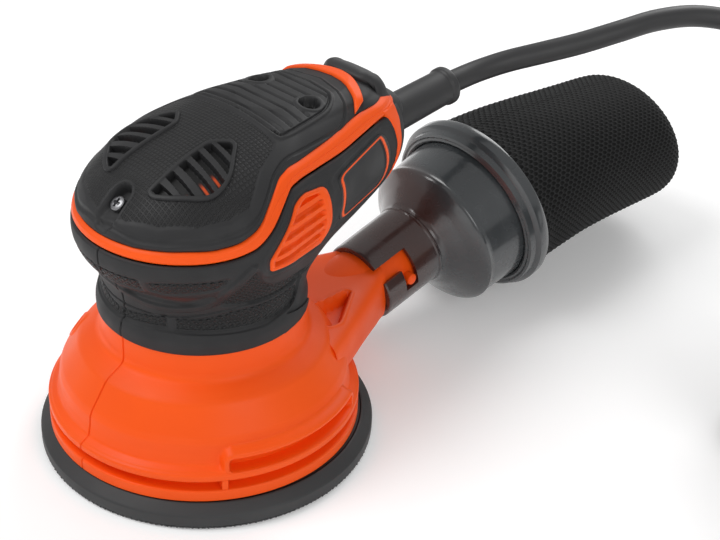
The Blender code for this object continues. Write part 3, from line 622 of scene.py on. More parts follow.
def crownHeight(x, y):
    # The height of the body's upper side over a place in plan.
    low, high = np.full(np.shape(x), 0.0925), np.full(np.shape(x), 0.1270)
    for _ in range(22):
        middle = (low + high) / 2
        row = smoothTable(stations, middle)
        nose, front, tail, rear = (row[..., k] for k in range(4))
        frontY, rearY = nose + front, tail - rear
        span = np.maximum(rearY - frontY, 1e-6)
        lean = np.clip((front - rear) / span, -0.99, 0.99)
        across, along = np.abs(x), y - frontY
        square = np.sqrt(1 - lean ** 2)
        k = along * square - across * lean
        outside = np.where(k < 0, np.hypot(across, along) - front,
                           np.where(k > span * square, np.hypot(across, along - span) - rear,
                                    across * square + along * lean - front))
        low = np.where(outside < 0, middle, low)
        high = np.where(outside < 0, high, middle)
    return (low + high) / 2


def onCrown(x, y):
    # A point over a place in plan, and the normal there.
    x, y = np.asarray(x, float), np.asarray(y, float)
    e = 0.0006
    slopeX = (crownHeight(x + e, y) - crownHeight(x - e, y)) / (2 * e)
    slopeY = (crownHeight(x, y + e) - crownHeight(x, y - e)) / (2 * e)
    normal = np.stack([-slopeX, -slopeY, np.ones_like(x)], -1)
    normal /= np.linalg.norm(normal, axis=-1, keepdims=True)
    return np.stack([x, y, crownHeight(x, y)], -1), normal


def seamColumns(columns, seam):
    # Shifts the columns beside the clamshell seam onto it: one lies in the groove, one on each edge.
    nearest = int(np.argmin(np.abs(columns[0] - seam.mean())))
    halfGroove = 0.0012
    for shift, offset in ((-2, -0.0034), (-1, -halfGroove), (0, 0.0), (1, halfGroove), (2, 0.0034)):
        columns[:, nearest + shift] = seam + offset
    return nearest


# cord first, because its spread decides where the CAD coil lies

cordSet = {
    "diameter": 0.0092, "exit": (0.0, 0.1260, 0.1053),
    "route": [(0.0000, 0.1260, 0.1053), (0.0010, 0.1400, 0.1066), (0.0055, 0.1535, 0.1090),
              (0.0136, 0.1660, 0.1122), (0.0215, 0.1800, 0.1152), (0.0290, 0.1960, 0.1188),
              (0.0350, 0.2130, 0.1214), (0.0440, 0.2330, 0.1212), (0.0600, 0.2510, 0.1160),
              (0.0790, 0.2610, 0.1050), (0.0980, 0.2625, 0.0890), (0.1140, 0.2560, 0.0690),
              (0.1240, 0.2440, 0.0475), (0.1290, 0.2300, 0.0280), (0.1308, 0.2150, 0.0130),
              (0.1310, 0.1996, 0.0060), (0.1310, 0.1860, 0.0048)],
    "coil": (0.168, 0.172), "coilRadius": 0.0370, "turns": 5.5, "rise": 0.0094,
    "plug": (0.1315, 0.1800, 0.0638),
}


def cordLine():
    # Out of the sleeve, down to the floor, then round the coil and up to the plug.
    cx, cy = cordSet["coil"]
    points = list(cordSet["route"])
    # turns anticlockwise from the coil's left side, each lying on the one before
    radius, turns = cordSet["coilRadius"], cordSet["turns"]
    for k in range(round(turns * 28) + 1):
        angle = math.pi + 2 * math.pi * k / 28
        points.append((cx + radius * math.cos(angle), cy + radius * math.sin(angle),
                       0.0048 + cordSet["rise"] * k / 28))
    # the last half turn lies further back, so that the plug rests along the coil's near edge
    x, y, z = cordSet["plug"]
    back = y + 0.0320
    height = points[-1][2]
    points += [(cx + radius, cy + 0.012, height + 0.0004), (cx + radius, back - 0.010, height + 0.0014)]
    for k in range(1, 12):
        angle = math.pi * k / 12
        points.append((cx + radius * math.cos(angle), back + radius * math.sin(angle),
                       height + 0.0014 + (z - height - 0.0014) * k / 12))
    points += [(x, back - 0.002, z), (x, y + 0.0245, z), (x, y + 0.0175, z)]
    return smoothLine(points, 0.0035)


def makeCord(plugPieces):
    line = cordLine()
    data = bpy.data.curves.new("mainsCord", "CURVE")
    data.dimensions = "3D"
    data.bevel_depth = cordSet["diameter"] / 2
    data.bevel_resolution = 6
    data.use_fill_caps = True
    spline = data.splines.new("POLY")
    spline.points.add(len(line) - 1)
    for point, place in zip(spline.points, line):
        point.co = (*place, 1)
    data.materials.append(looks["jacketRubber"])
    cord = bpy.data.objects.new("mainsCord", data)
    bpy.context.scene.collection.objects.link(cord)
    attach(cord, "root")
    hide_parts("cord", "cord_coil")


def makePlug():
    x, y, z = cordSet["plug"]
    flat = Matrix.Identity(3)
    body = softBlock("plugBody", (0.0236, 0.0200, 0.0146), (x, y - 0.0066, z), flat, "jacketRubber", "root",
                     0.0042, 5, slot="plug_plastic")
    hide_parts("plug")
    tail = []
    for k in range(13):
        share = k / 12
        size = 0.0098 - 0.0046 * step(share, 0.0, 0.75) + (0.0005 if k % 2 else 0.0)
        tail.append((size, -0.004 + 0.0195 * share))
    sleeve = turned("plugSleeve", tail, "jacketRubber", "root", (x, y + 0.0015, z), (0, 1, 0), 48,
                    slot="plug_plastic")
    ribs = []
    for k in range(5):
        for side in (1, -1):
            ribs.append(softBlock(f"plugGrip{'Right' if side > 0 else 'Left'}{k + 1}", (0.0012, 0.0013, 0.0088),
                                  (x + side * 0.0117, y - 0.0120 + 0.0026 * k, z), flat, "jacketRubber", "root",
                                  0.0005, 2, slot="plug_plastic"))
    cx, cy = cordSet["coil"]
    line, normals = [], []
    middle, tall = 0.0333, 0.0291
    for k in range(72):
        angle = 2 * math.pi * k / 72
        out, rise = math.cos(angle), math.sin(angle)
        line.append((cx + 0.0370 + 0.0052 * math.copysign(abs(out) ** 0.35, out), cy,
                     middle + tall * math.copysign(abs(rise) ** 0.6, rise)))
        normals.append((out, 0, rise))
    tie = ribbon("coilTie", line, normals, barSection(0.0042, 0.0004, 0.0003, 0.0002), "tiePlastic", "root", True,
                 slot="plug_plastic")
    blades = []
    for side, label in ((1, "Right"), (-1, "Left")):
        blade = softBlock("plugBlade" + label, (0.0015, 0.0156, 0.0064), (x + side * 0.00635, y - 0.0240, z), flat,
                          "bladeBrass", "root", 0.0003, 2, slot="plated_brass")
        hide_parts("plug_blade_" + label.lower())
        blades.append(blade)
    return [body, sleeve, tie, *ribs, *blades]


reliefSet = {"start": (0.0, 0.0920, 0.1010), "end": (0.0, 0.1250, 0.1052), "root": 0.0075, "tip": 0.0071,
             "lip": 0.0078, "lipLength": 0.0042}


def makeRelief():
    start, end = Vector(reliefSet["start"]), Vector(reliefSet["end"])
    length = (end - start).length
    tip = length - reliefSet["lipLength"]
    profile = rounded([(0.0, -0.010), (reliefSet["root"] + 0.0004, -0.010), (reliefSet["root"], 0.0),
                       (reliefSet["tip"], tip - 0.0006), (reliefSet["tip"], tip), (reliefSet["lip"], tip + 0.0007),
                       (reliefSet["lip"], length - 0.0010), (reliefSet["lip"] - 0.0012, length),
                       (0.0048, length), (0.0048, length - 0.003), (0.0, length - 0.003)], 0.0006, 5)
    sleeve = turned("cordSleeve", profile, "jacketRubber", "root", start, end - start, 64, slot="black_rubber")
    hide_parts("strain_relief")


# sanding pad

padSet = {"radius": 0.0625, "bevel": 0.0052, "top": 0.0088, "foamBottom": 0.0013, "hooks": 720}


def makePad():
    centre = (0, 0.0012, 0)
    edge, top = padSet["radius"], padSet["top"]
    bevelRing = rounded([(0.0, 0.0064), (0.0560, 0.0064), (0.0562, top - 0.0004), (0.0572, top),
                         (0.0586, top), (edge - 0.0004, 0.0059), (edge, 0.0054), (edge, padSet["foamBottom"]),
                         (edge - 0.0012, padSet["foamBottom"] - 0.0001), (0.0, padSet["foamBottom"])], 0.0005, 4)
    foam = turned("padFoam", bevelRing[::-1], "padGrey", "pad", centre, (0, 0, 1), 160, slot="pad_foam")
    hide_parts("pad_foam")
    angles = np.linspace(0, 2 * math.pi, padSet["hooks"], endpoint=False)
    jitter = np.sin(angles * 211) * 0.5 + np.sin(angles * 367 + 1.1) * 0.5
    rows = []
    for radius, height, loose in ((0.0, 0.0, 0), (0.055, 0.0, 0), (0.0606, 0.0, 0.2), (0.0619, 0.0002, 1.0),
                                  (0.0621, 0.0008, 1.0), (0.0616, 0.0013, 0.5), (0.0600, 0.0014, 0), (0.0, 0.0014, 0)):
        ring = np.maximum(radius + loose * 0.00034 * jitter, 0.0)
        rows.append(np.stack([ring * np.cos(angles), ring * np.sin(angles) + centre[1],
                              np.full_like(angles, height)], 1))
    hooks = addGrid("padHooks", np.array(rows), "hookPile", "pad", wrap=True, slot="hook_fabric")
    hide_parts("hook_face")


# orange skirt, port and neck

skirtSet = {
    "profile": [(0.0568, 0.0090), (0.0577, 0.0094), (0.0577, 0.0137), (0.0530, 0.0140), (0.0530, 0.0174),
                (0.0577, 0.0177), (0.0577, 0.0203), (0.0567, 0.0209), (0.0563, 0.0213), (0.0541, 0.0225),
                (0.0533, 0.0262), (0.0530, 0.0300), (0.0519, 0.0325), (0.0500, 0.0352), (0.0458, 0.0414),
                (0.0446, 0.0424), (0.0420, 0.0440), (0.0392, 0.0456), (0.0381, 0.0468), (0.0377, 0.0484),
                (0.0376, 0.0578), (0.0366, 0.0580)],
    "vent": {"middle": 90, "halfLength": 0.0300, "low": 0.0207, "high": 0.0262, "depth": 0.0046,
             "frame": 0.0021, "reach": 0.0572},
    "ribs": (58, 133, 188, 262, 318), "screwRecess": {"turn": -52, "height": 0.0385, "radius": 0.0042},
}


def fineProfile(profile, spacing, radius=0.0007):
    points = np.array(rounded(profile, radius, 4))
    made = [points[0]]
    for a, b in zip(points, points[1:]):
        count = max(1, int(np.linalg.norm(b - a) / spacing))
        made += [a + (b - a) * (k + 1) / count for k in range(count)]
    return np.array(made)


def makeSkirt():
    profile = fineProfile(skirtSet["profile"], 0.00055)
    columns = np.repeat(np.linspace(-math.pi, math.pi, 720, endpoint=False)[None], len(profile), 0)
    radius, height = np.repeat(profile[:, :1], 720, 1), np.repeat(profile[:, 1:], 720, 1)
    seam = np.arcsin(seamX / profile[:, 0])
    nearest = int(np.argmin(np.abs(columns[0] - seam.mean())))
    for shift, offset in ((-3, -0.0007), (-2, -0.00045), (-1, -0.00022), (0, 0.0), (1, 0.00022), (2, 0.00045),
                          (3, 0.0007)):
        columns[:, nearest + shift] = seam + offset / profile[:, 0]
    degrees = np.degrees(columns)
    change = np.zeros_like(radius)
    # exhaust vent on the right, in its raised frame with rounded ends
    vent = skirtSet["vent"]
    along = np.radians(np.abs(degrees - vent["middle"])) * 0.0565
    middle, half = (vent["low"] + vent["high"]) / 2, (vent["high"] - vent["low"]) / 2
    corner = 0.0018
    across = np.abs(height - middle)
    opening = np.hypot(np.maximum(along - vent["halfLength"] + corner, 0), np.maximum(across - half + corner, 0)) - corner
    wide = 0.0042
    grown = np.hypot(np.maximum(along - vent["halfLength"] - vent["frame"] + wide, 0),
                     np.maximum(across - half - vent["frame"] + wide, 0)) - wide
    outer = (height > 0.0195)
    raised = np.where(outer, np.maximum(vent["reach"] - radius, 0) * (1 - step(grown, -0.0006, 0.0012)), 0)
    change += raised
    change -= np.where(outer, vent["depth"] * (1 - step(opening, -0.0004, 0.00015)), 0)
    # small ribs that bridge the groove under the lip
    groove = (height > 0.0138) & (height < 0.0177)
    for turn in skirtSet["ribs"]:
        gap = np.abs((degrees - turn + 180) % 360 - 180) * math.pi / 180 * 0.0565
        change += np.where(groove, (0.0574 - radius) * (1 - step(gap, 0.0012, 0.0017)), 0) * (radius < 0.0574)
    # scooped recess over a case screw
    recess = skirtSet["screwRecess"]
    gap = np.hypot(np.radians(degrees - recess["turn"]) * radius, (height - recess["height"]) * 1.25)
    change += ridge(gap - recess["radius"] - 0.0004, 0.0022, 0.0007) * (height > 0.0225)
    change -= 0.0040 * (1 - step(gap, recess["radius"] * 0.55, recess["radius"])) * (height > 0.0225)
    # clamshell seam
    away = np.abs(np.sin(columns) * radius - seamX) + (np.cos(columns) < 0) * 1.0
    change -= 0.0009 * (1 - step(away, 0.00012, 0.00030))
    radius = radius + change
    points = np.stack([radius * np.sin(columns), -radius * np.cos(columns), height], 2)
    skirt = addGrid("skirtShell", points, "orangeShell", "root", wrap=True, slot="orange_shell", sharp=42)
    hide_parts("housing_left", "housing_right")
    liner = fineProfile([(0.0555, 0.0092), (0.0508, 0.0094), (0.0504, 0.0296), (0.0436, 0.0398), (0.0350, 0.0440),
                         (0.0120, 0.0445)], 0.004)
    turned("skirtLiner", liner[::-1], "deepBlack", "root", sides=96, lids=False, slot="dark_plastic")


portSet = {"mouth": (0.0, 0.0837, 0.0309), "tilt": 14.5, "radius": 0.0146, "pinRadius": 0.0024,
           "drop": 0.0043, "collar": 0.0650}
portForward = Vector((0, math.cos(math.radians(portSet["tilt"])), math.sin(math.radians(portSet["tilt"]))))
portUp = Vector((0, -math.sin(math.radians(portSet["tilt"])), math.cos(math.radians(portSet["tilt"]))))


def portPlace(along, off=0.0, side=0.0):
    return Vector(portSet["mouth"]) + portForward * along + portUp * off + Vector((side, 0, 0))


def portRings(rows, sides, sag=lambda along: 0.0):
    # Rings of (along, radius, drop) square to the port's axis; angle 0 points up and runs towards +x.
    angles = np.linspace(0, 2 * math.pi, sides, endpoint=False)
    rings = []
    for along, radius, drop in rows:
        centre = np.array(portPlace(along, -drop)) - np.array((0, 0, sag(along)))
        rings.append(centre + np.outer(np.cos(angles) * radius, np.array(portUp))
                     + np.outer(np.sin(angles) * radius, (1, 0, 0)))
    return np.array(rings)


def makePort():
    rows = [(-0.030, 0.0160, 0.0), (-0.018, 0.0156, 0.0), (-0.0075, 0.0151, 0.0), (-0.0055, 0.0149, 0.0),
            (-0.0050, 0.0146, 0.0), (0.0140, 0.0146, 0.0), (0.0149, 0.0143, 0.0), (0.0150, 0.0138, 0.0),
            (0.0150, 0.0122, 0.0), (0.0144, 0.0119, 0.0), (-0.0200, 0.0119, 0.0)]
    addGrid("portTube", portRings(rows, 96), "orangeShell", "root", wrap=True, slot="orange_shell")
    for side, label in ((1, "Right"), (-1, "Left")):
        origin = portPlace(0.0095, 0.0016, side * 0.0130)
        pin = rounded([(0.0, 0.0), (portSet["pinRadius"], 0.0), (portSet["pinRadius"], 0.0044),
                       (portSet["pinRadius"] - 0.0007, 0.0050), (0.0, 0.0050)], 0.0004)
        turned("bayonetPin" + label, pin, "orangeShell", "root", origin, (side, 0, 0), 32, slot="orange_shell")
    makeFairing()


# the flank between the skirt and the port: wide at the skirt, closing on the tube, with a pocket each side

fairingSet = {
    # y, half width, top, bottom
    "sections": [(0.0300, 0.0400, 0.0430, 0.0190), (0.0400, 0.0350, 0.0424, 0.0186), (0.0500, 0.0299, 0.0418, 0.0182),
                 (0.0600, 0.0247, 0.0414, 0.0178), (0.0680, 0.0206, 0.0412, 0.0172), (0.0740, 0.0176, 0.0414, 0.0168),
                 (0.0780, 0.0155, 0.0418, 0.0166), (0.0810, 0.0144, 0.0424, 0.0168)],
    "pocket": [(14.6, 36.0), (13.6, 59.5), (15.0, 60.5), (27.6, 42.8), (27.8, 36.0)],
    "pocketDepth": 4.6, "corner": 0.50,
}


def makeFairing():
    rows, columns = 130, 220
    angles = np.linspace(0, 2 * math.pi, columns, endpoint=False)
    y = np.linspace(0.0300, 0.0810, rows)
    half, top, low = (smoothTable(fairingSet["sections"], y)[:, k][:, None] for k in range(3))
    corner = fairingSet["corner"]
    x = half * np.sign(np.sin(angles)) * np.abs(np.sin(angles)) ** corner
    z = (top + low) / 2 + (top - low) / 2 * np.sign(np.cos(angles)) * np.abs(np.cos(angles)) ** corner
    y = np.repeat(y[:, None], columns, 1)
    gap = outlineDistance(np.abs(x) * 1000, y * 1000, roundedOutline(fairingSet["pocket"], 2.0))
    upper = step(z - (top + low) / 2, 0.0, 0.003)
    z = z - upper * fairingSet["pocketDepth"] / 1000 * (1 - step(gap, -1.9, 0.1))
    z = z + upper * ridge(gap - 0.7, 1.6, 0.35) / 1000
    seam = np.abs(x * 1000 - seamX * 1000)
    z = z - upper * 0.0006 * (1 - step(seam, 0.15, 0.45))
    addGrid("portFairing", np.stack([x, y, z], 2), "orangeShell", "root", wrap=True, lids=True,
            slot="orange_shell", sharp=50)


# the body's skins: orange side band, black grip below it and black cover above it

bodySet = {"columns": 720, "gap": 0.0003, "edge": 0.0011}


def bodyColumns(rows, inset=0.0):
    columns = np.repeat(np.linspace(-1, 1, bodySet["columns"], endpoint=False)[None], rows, 0)
    return columns


def makeBand():
    shares = np.linspace(0, 1, 34)[:, None]
    around = bodyColumns(34)
    height = bandEdge(bandLow, around) * (1 - shares) + bandEdge(bandHigh, around) * shares
    rim = np.minimum(shares, 1 - shares) * (bandEdge(bandHigh, around) - bandEdge(bandLow, around))
    rolled = bodySet["edge"] * (1 - np.sqrt(np.clip(rim / bodySet["edge"], 0, 1)))
    crease = ridge(shares - 0.52, 0.10, 0.0002) * step(np.abs(around), 0.40, 0.46)
    points = bodyPoint(around, height, rolled + crease)
    addGrid("sideBand", points, "orangeShell", "root", wrap=True, slot="orange_shell")


gripSet = {
    "knurls": [[(0, 88.4), (0.126, 88.7), (0.128, 83.1), (0.023, 82.7), (0, 82.7)],
               [(0.140, 88), (0.184, 89.1), (0.262, 89.5), (0.327, 89.9), (0.322, 87.2), (0.292, 84.9),
                (0.177, 82.5), (0.142, 83.8)],
               [(0, 68.1), (0.018, 68.1), (0.142, 70.9), (0.148, 65.8), (0.022, 64.4), (0, 64.4)],
               [(0.154, 70.4), (0.224, 70.7), (0.299, 72.8), (0.49, 72.8), (0.563, 66), (0.453, 64.6),
                (0.319, 65), (0.167, 65.4)]],
    "panel": [(0.269, 75.7), (0.357, 85.5), (0.383, 89.7), (0.395, 89.5), (0.406, 83.2), (0.422, 79.5),
              (0.585, 75.7), (0.70, 75.1), (0.573, 75.1), (0.469, 72.5), (0.367, 73.3)],
    "strip": [(0.038, 77.5), (0.124, 77.2), (0.202, 76.3), (0.289, 81.4), (0.144, 81), (0.05, 79.5)],
    "rib": [(-0.04, 77.1), (0.033, 77.1), (0.091, 74.6), (0.157, 74.2), (0.231, 75.6), (0.280, 79.2),
            (0.337, 86.6), (0.378, 91.7)],
    "divide": [(-0.02, 70.0), (0.162, 70.5), (0.226, 72.1), (0.300, 73.8), (0.394, 74.3), (0.533, 73.9),
               (0.691, 73.7)],
    "ring": [(-0.02, 64.2), (0.019, 64.2), (0.165, 64.9), (0.326, 64.2), (0.429, 63.8), (0.495, 65.4),
             (0.552, 70.7), (0.60, 76), (0.60, 50), (-0.02, 50)],
    "badgePanel": [(0.575, 107.0), (0.60, 109.0), (0.70, 113.2), (0.722, 112.0), (0.742, 92.5), (0.730, 87.0),
                   (0.62, 84.5), (0.592, 89.0)],
    "perUnit": 120,
}
louvre = [(50.6, 87.6), (50.3, 92.4), (60.6, 107.6), (62.4, 108.6), (67.0, 107.0), (67.9, 105.3), (71.6, 86.5),
          (71.2, 83.4)]
badge = [(70.4, 105.0), (71.6, 107.0), (83.4, 111.7), (84.3, 109.6), (86.3, 93.4), (85.6, 90.2), (75.2, 87.2),
         (72.6, 90.6)]


def scaled(outline, times=2):
    unit = gripSet["perUnit"]
    return roundedOutline([(around * unit, height) for around, height in outline], times)


def makeGrip():
    rows = 168
    around = bodyColumns(rows)
    shares = np.linspace(0, 1, rows)[:, None]
    top = bandEdge(bandLow, around) - bodySet["gap"]
    low = neckTop - 0.0006
    height = low * (1 - shares) + top * shares
    u, v = np.abs(around) * gripSet["perUnit"], height * 1000
    lift = np.zeros_like(u)
    knurl = np.zeros_like(u)
    for outline in gripSet["knurls"]:
        gap = outlineDistance(u, v, scaled(outline, 1))
        lift -= 0.45 * (1 - step(gap, -0.55, 0.25))
        lift += 0.30 * (1 - step(gap, -1.1, -0.7))
        knurl = np.maximum(knurl, 1 - step(gap, -1.0, -0.6))
    gap = outlineDistance(u, v, scaled(gripSet["panel"], 2))
    lift -= 0.75 * (1 - step(gap, -0.7, 0.25))
    knurl = np.maximum(knurl, 1 - step(gap, -0.9, -0.5))
    gap = outlineDistance(u, v, scaled(gripSet["strip"], 2))
    lift -= 0.9 * (1 - step(gap, -0.8, 0.5))
    ember = 0.55 * (1 - step(gap, -1.4, -0.2)) * (0.6 + 0.4 * np.sin(u * 0.35))
    path = [(a * gripSet["perUnit"], b) for a, b in gripSet["rib"]]
    lift += ridge(pathDistance(u, v, softened(path, 2, False)), 3.4, 0.75)
    path = [(a * gripSet["perUnit"], b) for a, b in gripSet["divide"]]
    lift -= ridge(pathDistance(u, v, softened(path, 2, False)), 0.9, 0.45)
    gap = outlineDistance(u, v, scaled(gripSet["ring"], 1))
    lift += 0.65 * (1 - step(gap, -0.5, 0.3))
    knurl *= step(gap, -0.5, 0.3)
    panel = outlineDistance(u, v, scaled(gripSet["badgePanel"], 2))
    lift -= 0.30 * (1 - step(panel, -0.35, 0.30))
    hole = outlineDistance(u, v, roundedOutline(louvre, 2.0))
    lift += ridge(hole - 1.8, 2.4, 0.30)
    lift -= 5.0 * (1 - step(hole, -1.3, -0.2))
    lift -= 2.0 * (1 - step(outlineDistance(u, v, roundedOutline(badge, 2.0)), -1.2, -0.4))
    # clamshell seam down the nose
    x = bodyPoint(around, height)[..., 0] * 1000
    away = np.abs(x - seamX * 1000) + (np.abs(around) > 0.4) * 9
    lift -= 0.8 * (1 - step(away, 0.10, 0.34))
    # rolled edges, the upper one against the band and the lower one on the skirt
    rim = np.minimum(v - low * 1000, top * 1000 - v)
    lift -= 0.9 * (1 - np.sqrt(np.clip(rim / 0.9, 0, 1)))
    base, normal = bodyPoint(around, height), None
    normal = gridNormals(base, True)
    points = base + normal * lift[..., None] / 1000
    points[..., 2] = np.minimum(points[..., 2], top)
    # painted shade: the pit mark turns the bottom of the louvre's hole near black
    marks = {"across": u, "along": v, "knurl": knurl, "ember": ember, "pitShade": (1 - step(hole, -1.2, -0.6))}
    grip = addGrid("gripSkin", points, "gripRubber", "root", wrap=True, slot="black_grip", marks=marks, sharp=60)
    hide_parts("grip_left", "grip_right")


def surfacePatch(name, surface, outline, side, look, shape, spacing=0.18, margin=1.0, **more):
    # a fine piece of skin over an outline: shape gives its lift in mm, and any marks, at each place
    xs, ys = zip(*outline)
    u = np.linspace(min(xs) - margin, max(xs) + margin, round((max(xs) - min(xs) + 2 * margin) / spacing))
    v = np.linspace(min(ys) - margin, max(ys) + margin, round((max(ys) - min(ys) + 2 * margin) / spacing))
    u, v = np.meshgrid(u, v)
    gap = outlineDistance(u, v, outline)
    lift, marks = shape(u, v, gap)
    lift = np.where(gap > -0.3, lift - 3.0 * step(gap, -0.3, 0.45), lift)
    if surface == "side":
        base, normal = onBody(side * u / gripSet["perUnit"], v / 1000)
    else:
        base, normal = onCrown(side * u / 1000, v / 1000)
    points = base + normal * lift[..., None] / 1000
    if side < 0:
        points = points[:, ::-1]
        marks = {key: value[:, ::-1] for key, value in marks.items()}
    return addGrid(name, points, look, "root", marks=marks, **more)


louvreSet = {"frame": 1.7, "pitch": 4.35, "opening": 2.35, "first": 87.6, "depth": 2.6, "slope": -0.055}


def louvreShape(u, v, gap):
    # slots lie level, each with a sloping floor that falls away inwards
    inside = 1 - step(gap + louvreSet["frame"], -0.35, 0.05)
    level = (v - louvreSet["first"] - louvreSet["slope"] * (u - 60)) / louvreSet["pitch"]
    part = level - np.floor(level)
    slot = step(part, 0.0, 0.07) * (1 - step(part, louvreSet["opening"] / louvreSet["pitch"],
                                                   louvreSet["opening"] / louvreSet["pitch"] + 0.07))
    floor = louvreSet["depth"] * (0.45 + 0.55 * np.clip(part / 0.55, 0, 1))
    # painted shade: the inner, deeper part of each slot is turned near black through the pit mark, as the shade inside
    # the opening
    dark = inside * slot * step(part, 0.30, 0.52) * step(gap, -9.5, -3.4)
    lift = 0.35 - inside * (slot * floor + 0.55) + ridge(gap + louvreSet["frame"] * 0.5, 1.3, 0.25)
    return lift, {"pitShade": dark * 0.9}


def badgeShape(u, v, gap):
    line = 1 - step(np.abs(gap + 1.15), 0.22, 0.36)
    return 0.10 + 0.14 * line - 0.25 * (1 - step(gap, -2.0, -1.5)), {"ember": line}


def makeSidePieces():
    for side, label in ((1, "Right"), (-1, "Left")):
        surfacePatch("louvre" + label, "side", roundedOutline(louvre, 1.3), side, "orangeShell", louvreShape,
                     slot="orange_shell", sharp=50)
        plate = surfacePatch("badgePlate" + label, "side", roundedOutline(badge, 2.0), side, "badgeSkin", badgeShape,
                             slot="dark_plastic", sharp=50)
        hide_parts("badge_right" if side > 0 else "badge_left")


coverSet = {
    "studs": [(0, -41.5), (9.5, -39.6), (20.9, -34.3), (30.6, -25.3), (35.3, -15.7), (36.2, -8.3), (33, -3.3),
              (29.7, 1.4), (25.9, 10.3), (23.7, 12.7), (12, 13.6), (0, 13.8)],
    "rim": [(0, -42.7), (15.2, -40.6), (25.9, -34), (34.8, -23.4), (38.6, -13), (38.3, -5.5), (35.4, 0.2),
            (32.4, 4.6), (29.8, 11.2), (28.7, 18.9), (26.6, 31), (24.5, 43), (20.4, 48.7), (14.1, 51.5), (0, 55)],
    "saddle": [(0, 14.6), (23.0, 13.8), (24, 19.1), (22, 30.8), (20, 40.8), (16.5, 46.3), (12.5, 49.5), (0, 51)],
    "grooves": (18.1, 22.7, 27.3, 31.9, 36.5, 41.1, 45.7),
    "well": {"place": (13.4, 37.4), "radius": 3.6, "depth": 3.4},
    "scoop": [(-2.6, -44), (-2.9, -34.7), (-1.5, -31.6), (0.7, -30.8), (3.2, -31.2), (4.6, -32.2), (6, -34),
              (6.3, -44)],
    "arch": {"front": [(0, 60.6), (6, 59.8), (11.7, 57.6), (16, 55.8), (18.8, 54.4), (21.9, 52), (30, 44)],
             "rear": [(0, 66.4), (5, 65.6), (9.5, 63.9), (14, 61.6), (19.1, 58.5), (24, 55)]},
}
leaf = [(9.4, -30.1), (12.8, -30.9), (18.2, -27.7), (26.1, -20.6), (28.3, -16.6), (28.2, -11.6), (25.9, -6.9),
        (17.4, 2.2), (14.2, 2.9), (8.3, -2.6), (8.4, -10.9), (9.2, -22.3)]
leafSlots = [((9.5, -27.2), (15.8, -27.1)), ((9.7, -21.4), (22, -22.4)), ((9.6, -15.7), (26.1, -17)),
             ((9.1, -10.3), (26.7, -12.3)), ((9.6, -5), (23.5, -6.7)), ((11.6, -0.4), (18.6, -1))]


def mirrored(outline):
    return outline + [(-x, y) for x, y in reversed(outline)]


def leafShape(u, v, gap):
    slots = np.full(u.shape, 1e9)
    for a, b in leafSlots:
        run = (v - a[1] - (b[1] - a[1]) * np.clip((u - a[0]) / (b[0] - a[0]), -0.3, 1.3))
        slots = np.minimum(slots, np.abs(run) - 1.5)
    slots = np.maximum(slots, gap + 1.75)
    open_ = 1 - step(slots, -0.25, 0.12)
    ember = open_ * step(u, 18.5, 22.5) * step(v, -25, -21) * (1 - step(v, -12, -8)) * (1 - step(slots, -1.2, -0.7))
    lift = 0.12 + ridge(gap + 0.9, 1.9, 0.50) - 2.7 * open_
    # painted shade: the slot floors are turned near black through the pit mark, except where the orange inside shows
    # through
    return lift, {"pitShade": open_ * (1 - ember) * step(-slots, 0.2, 0.6), "ember": ember * 0.75}


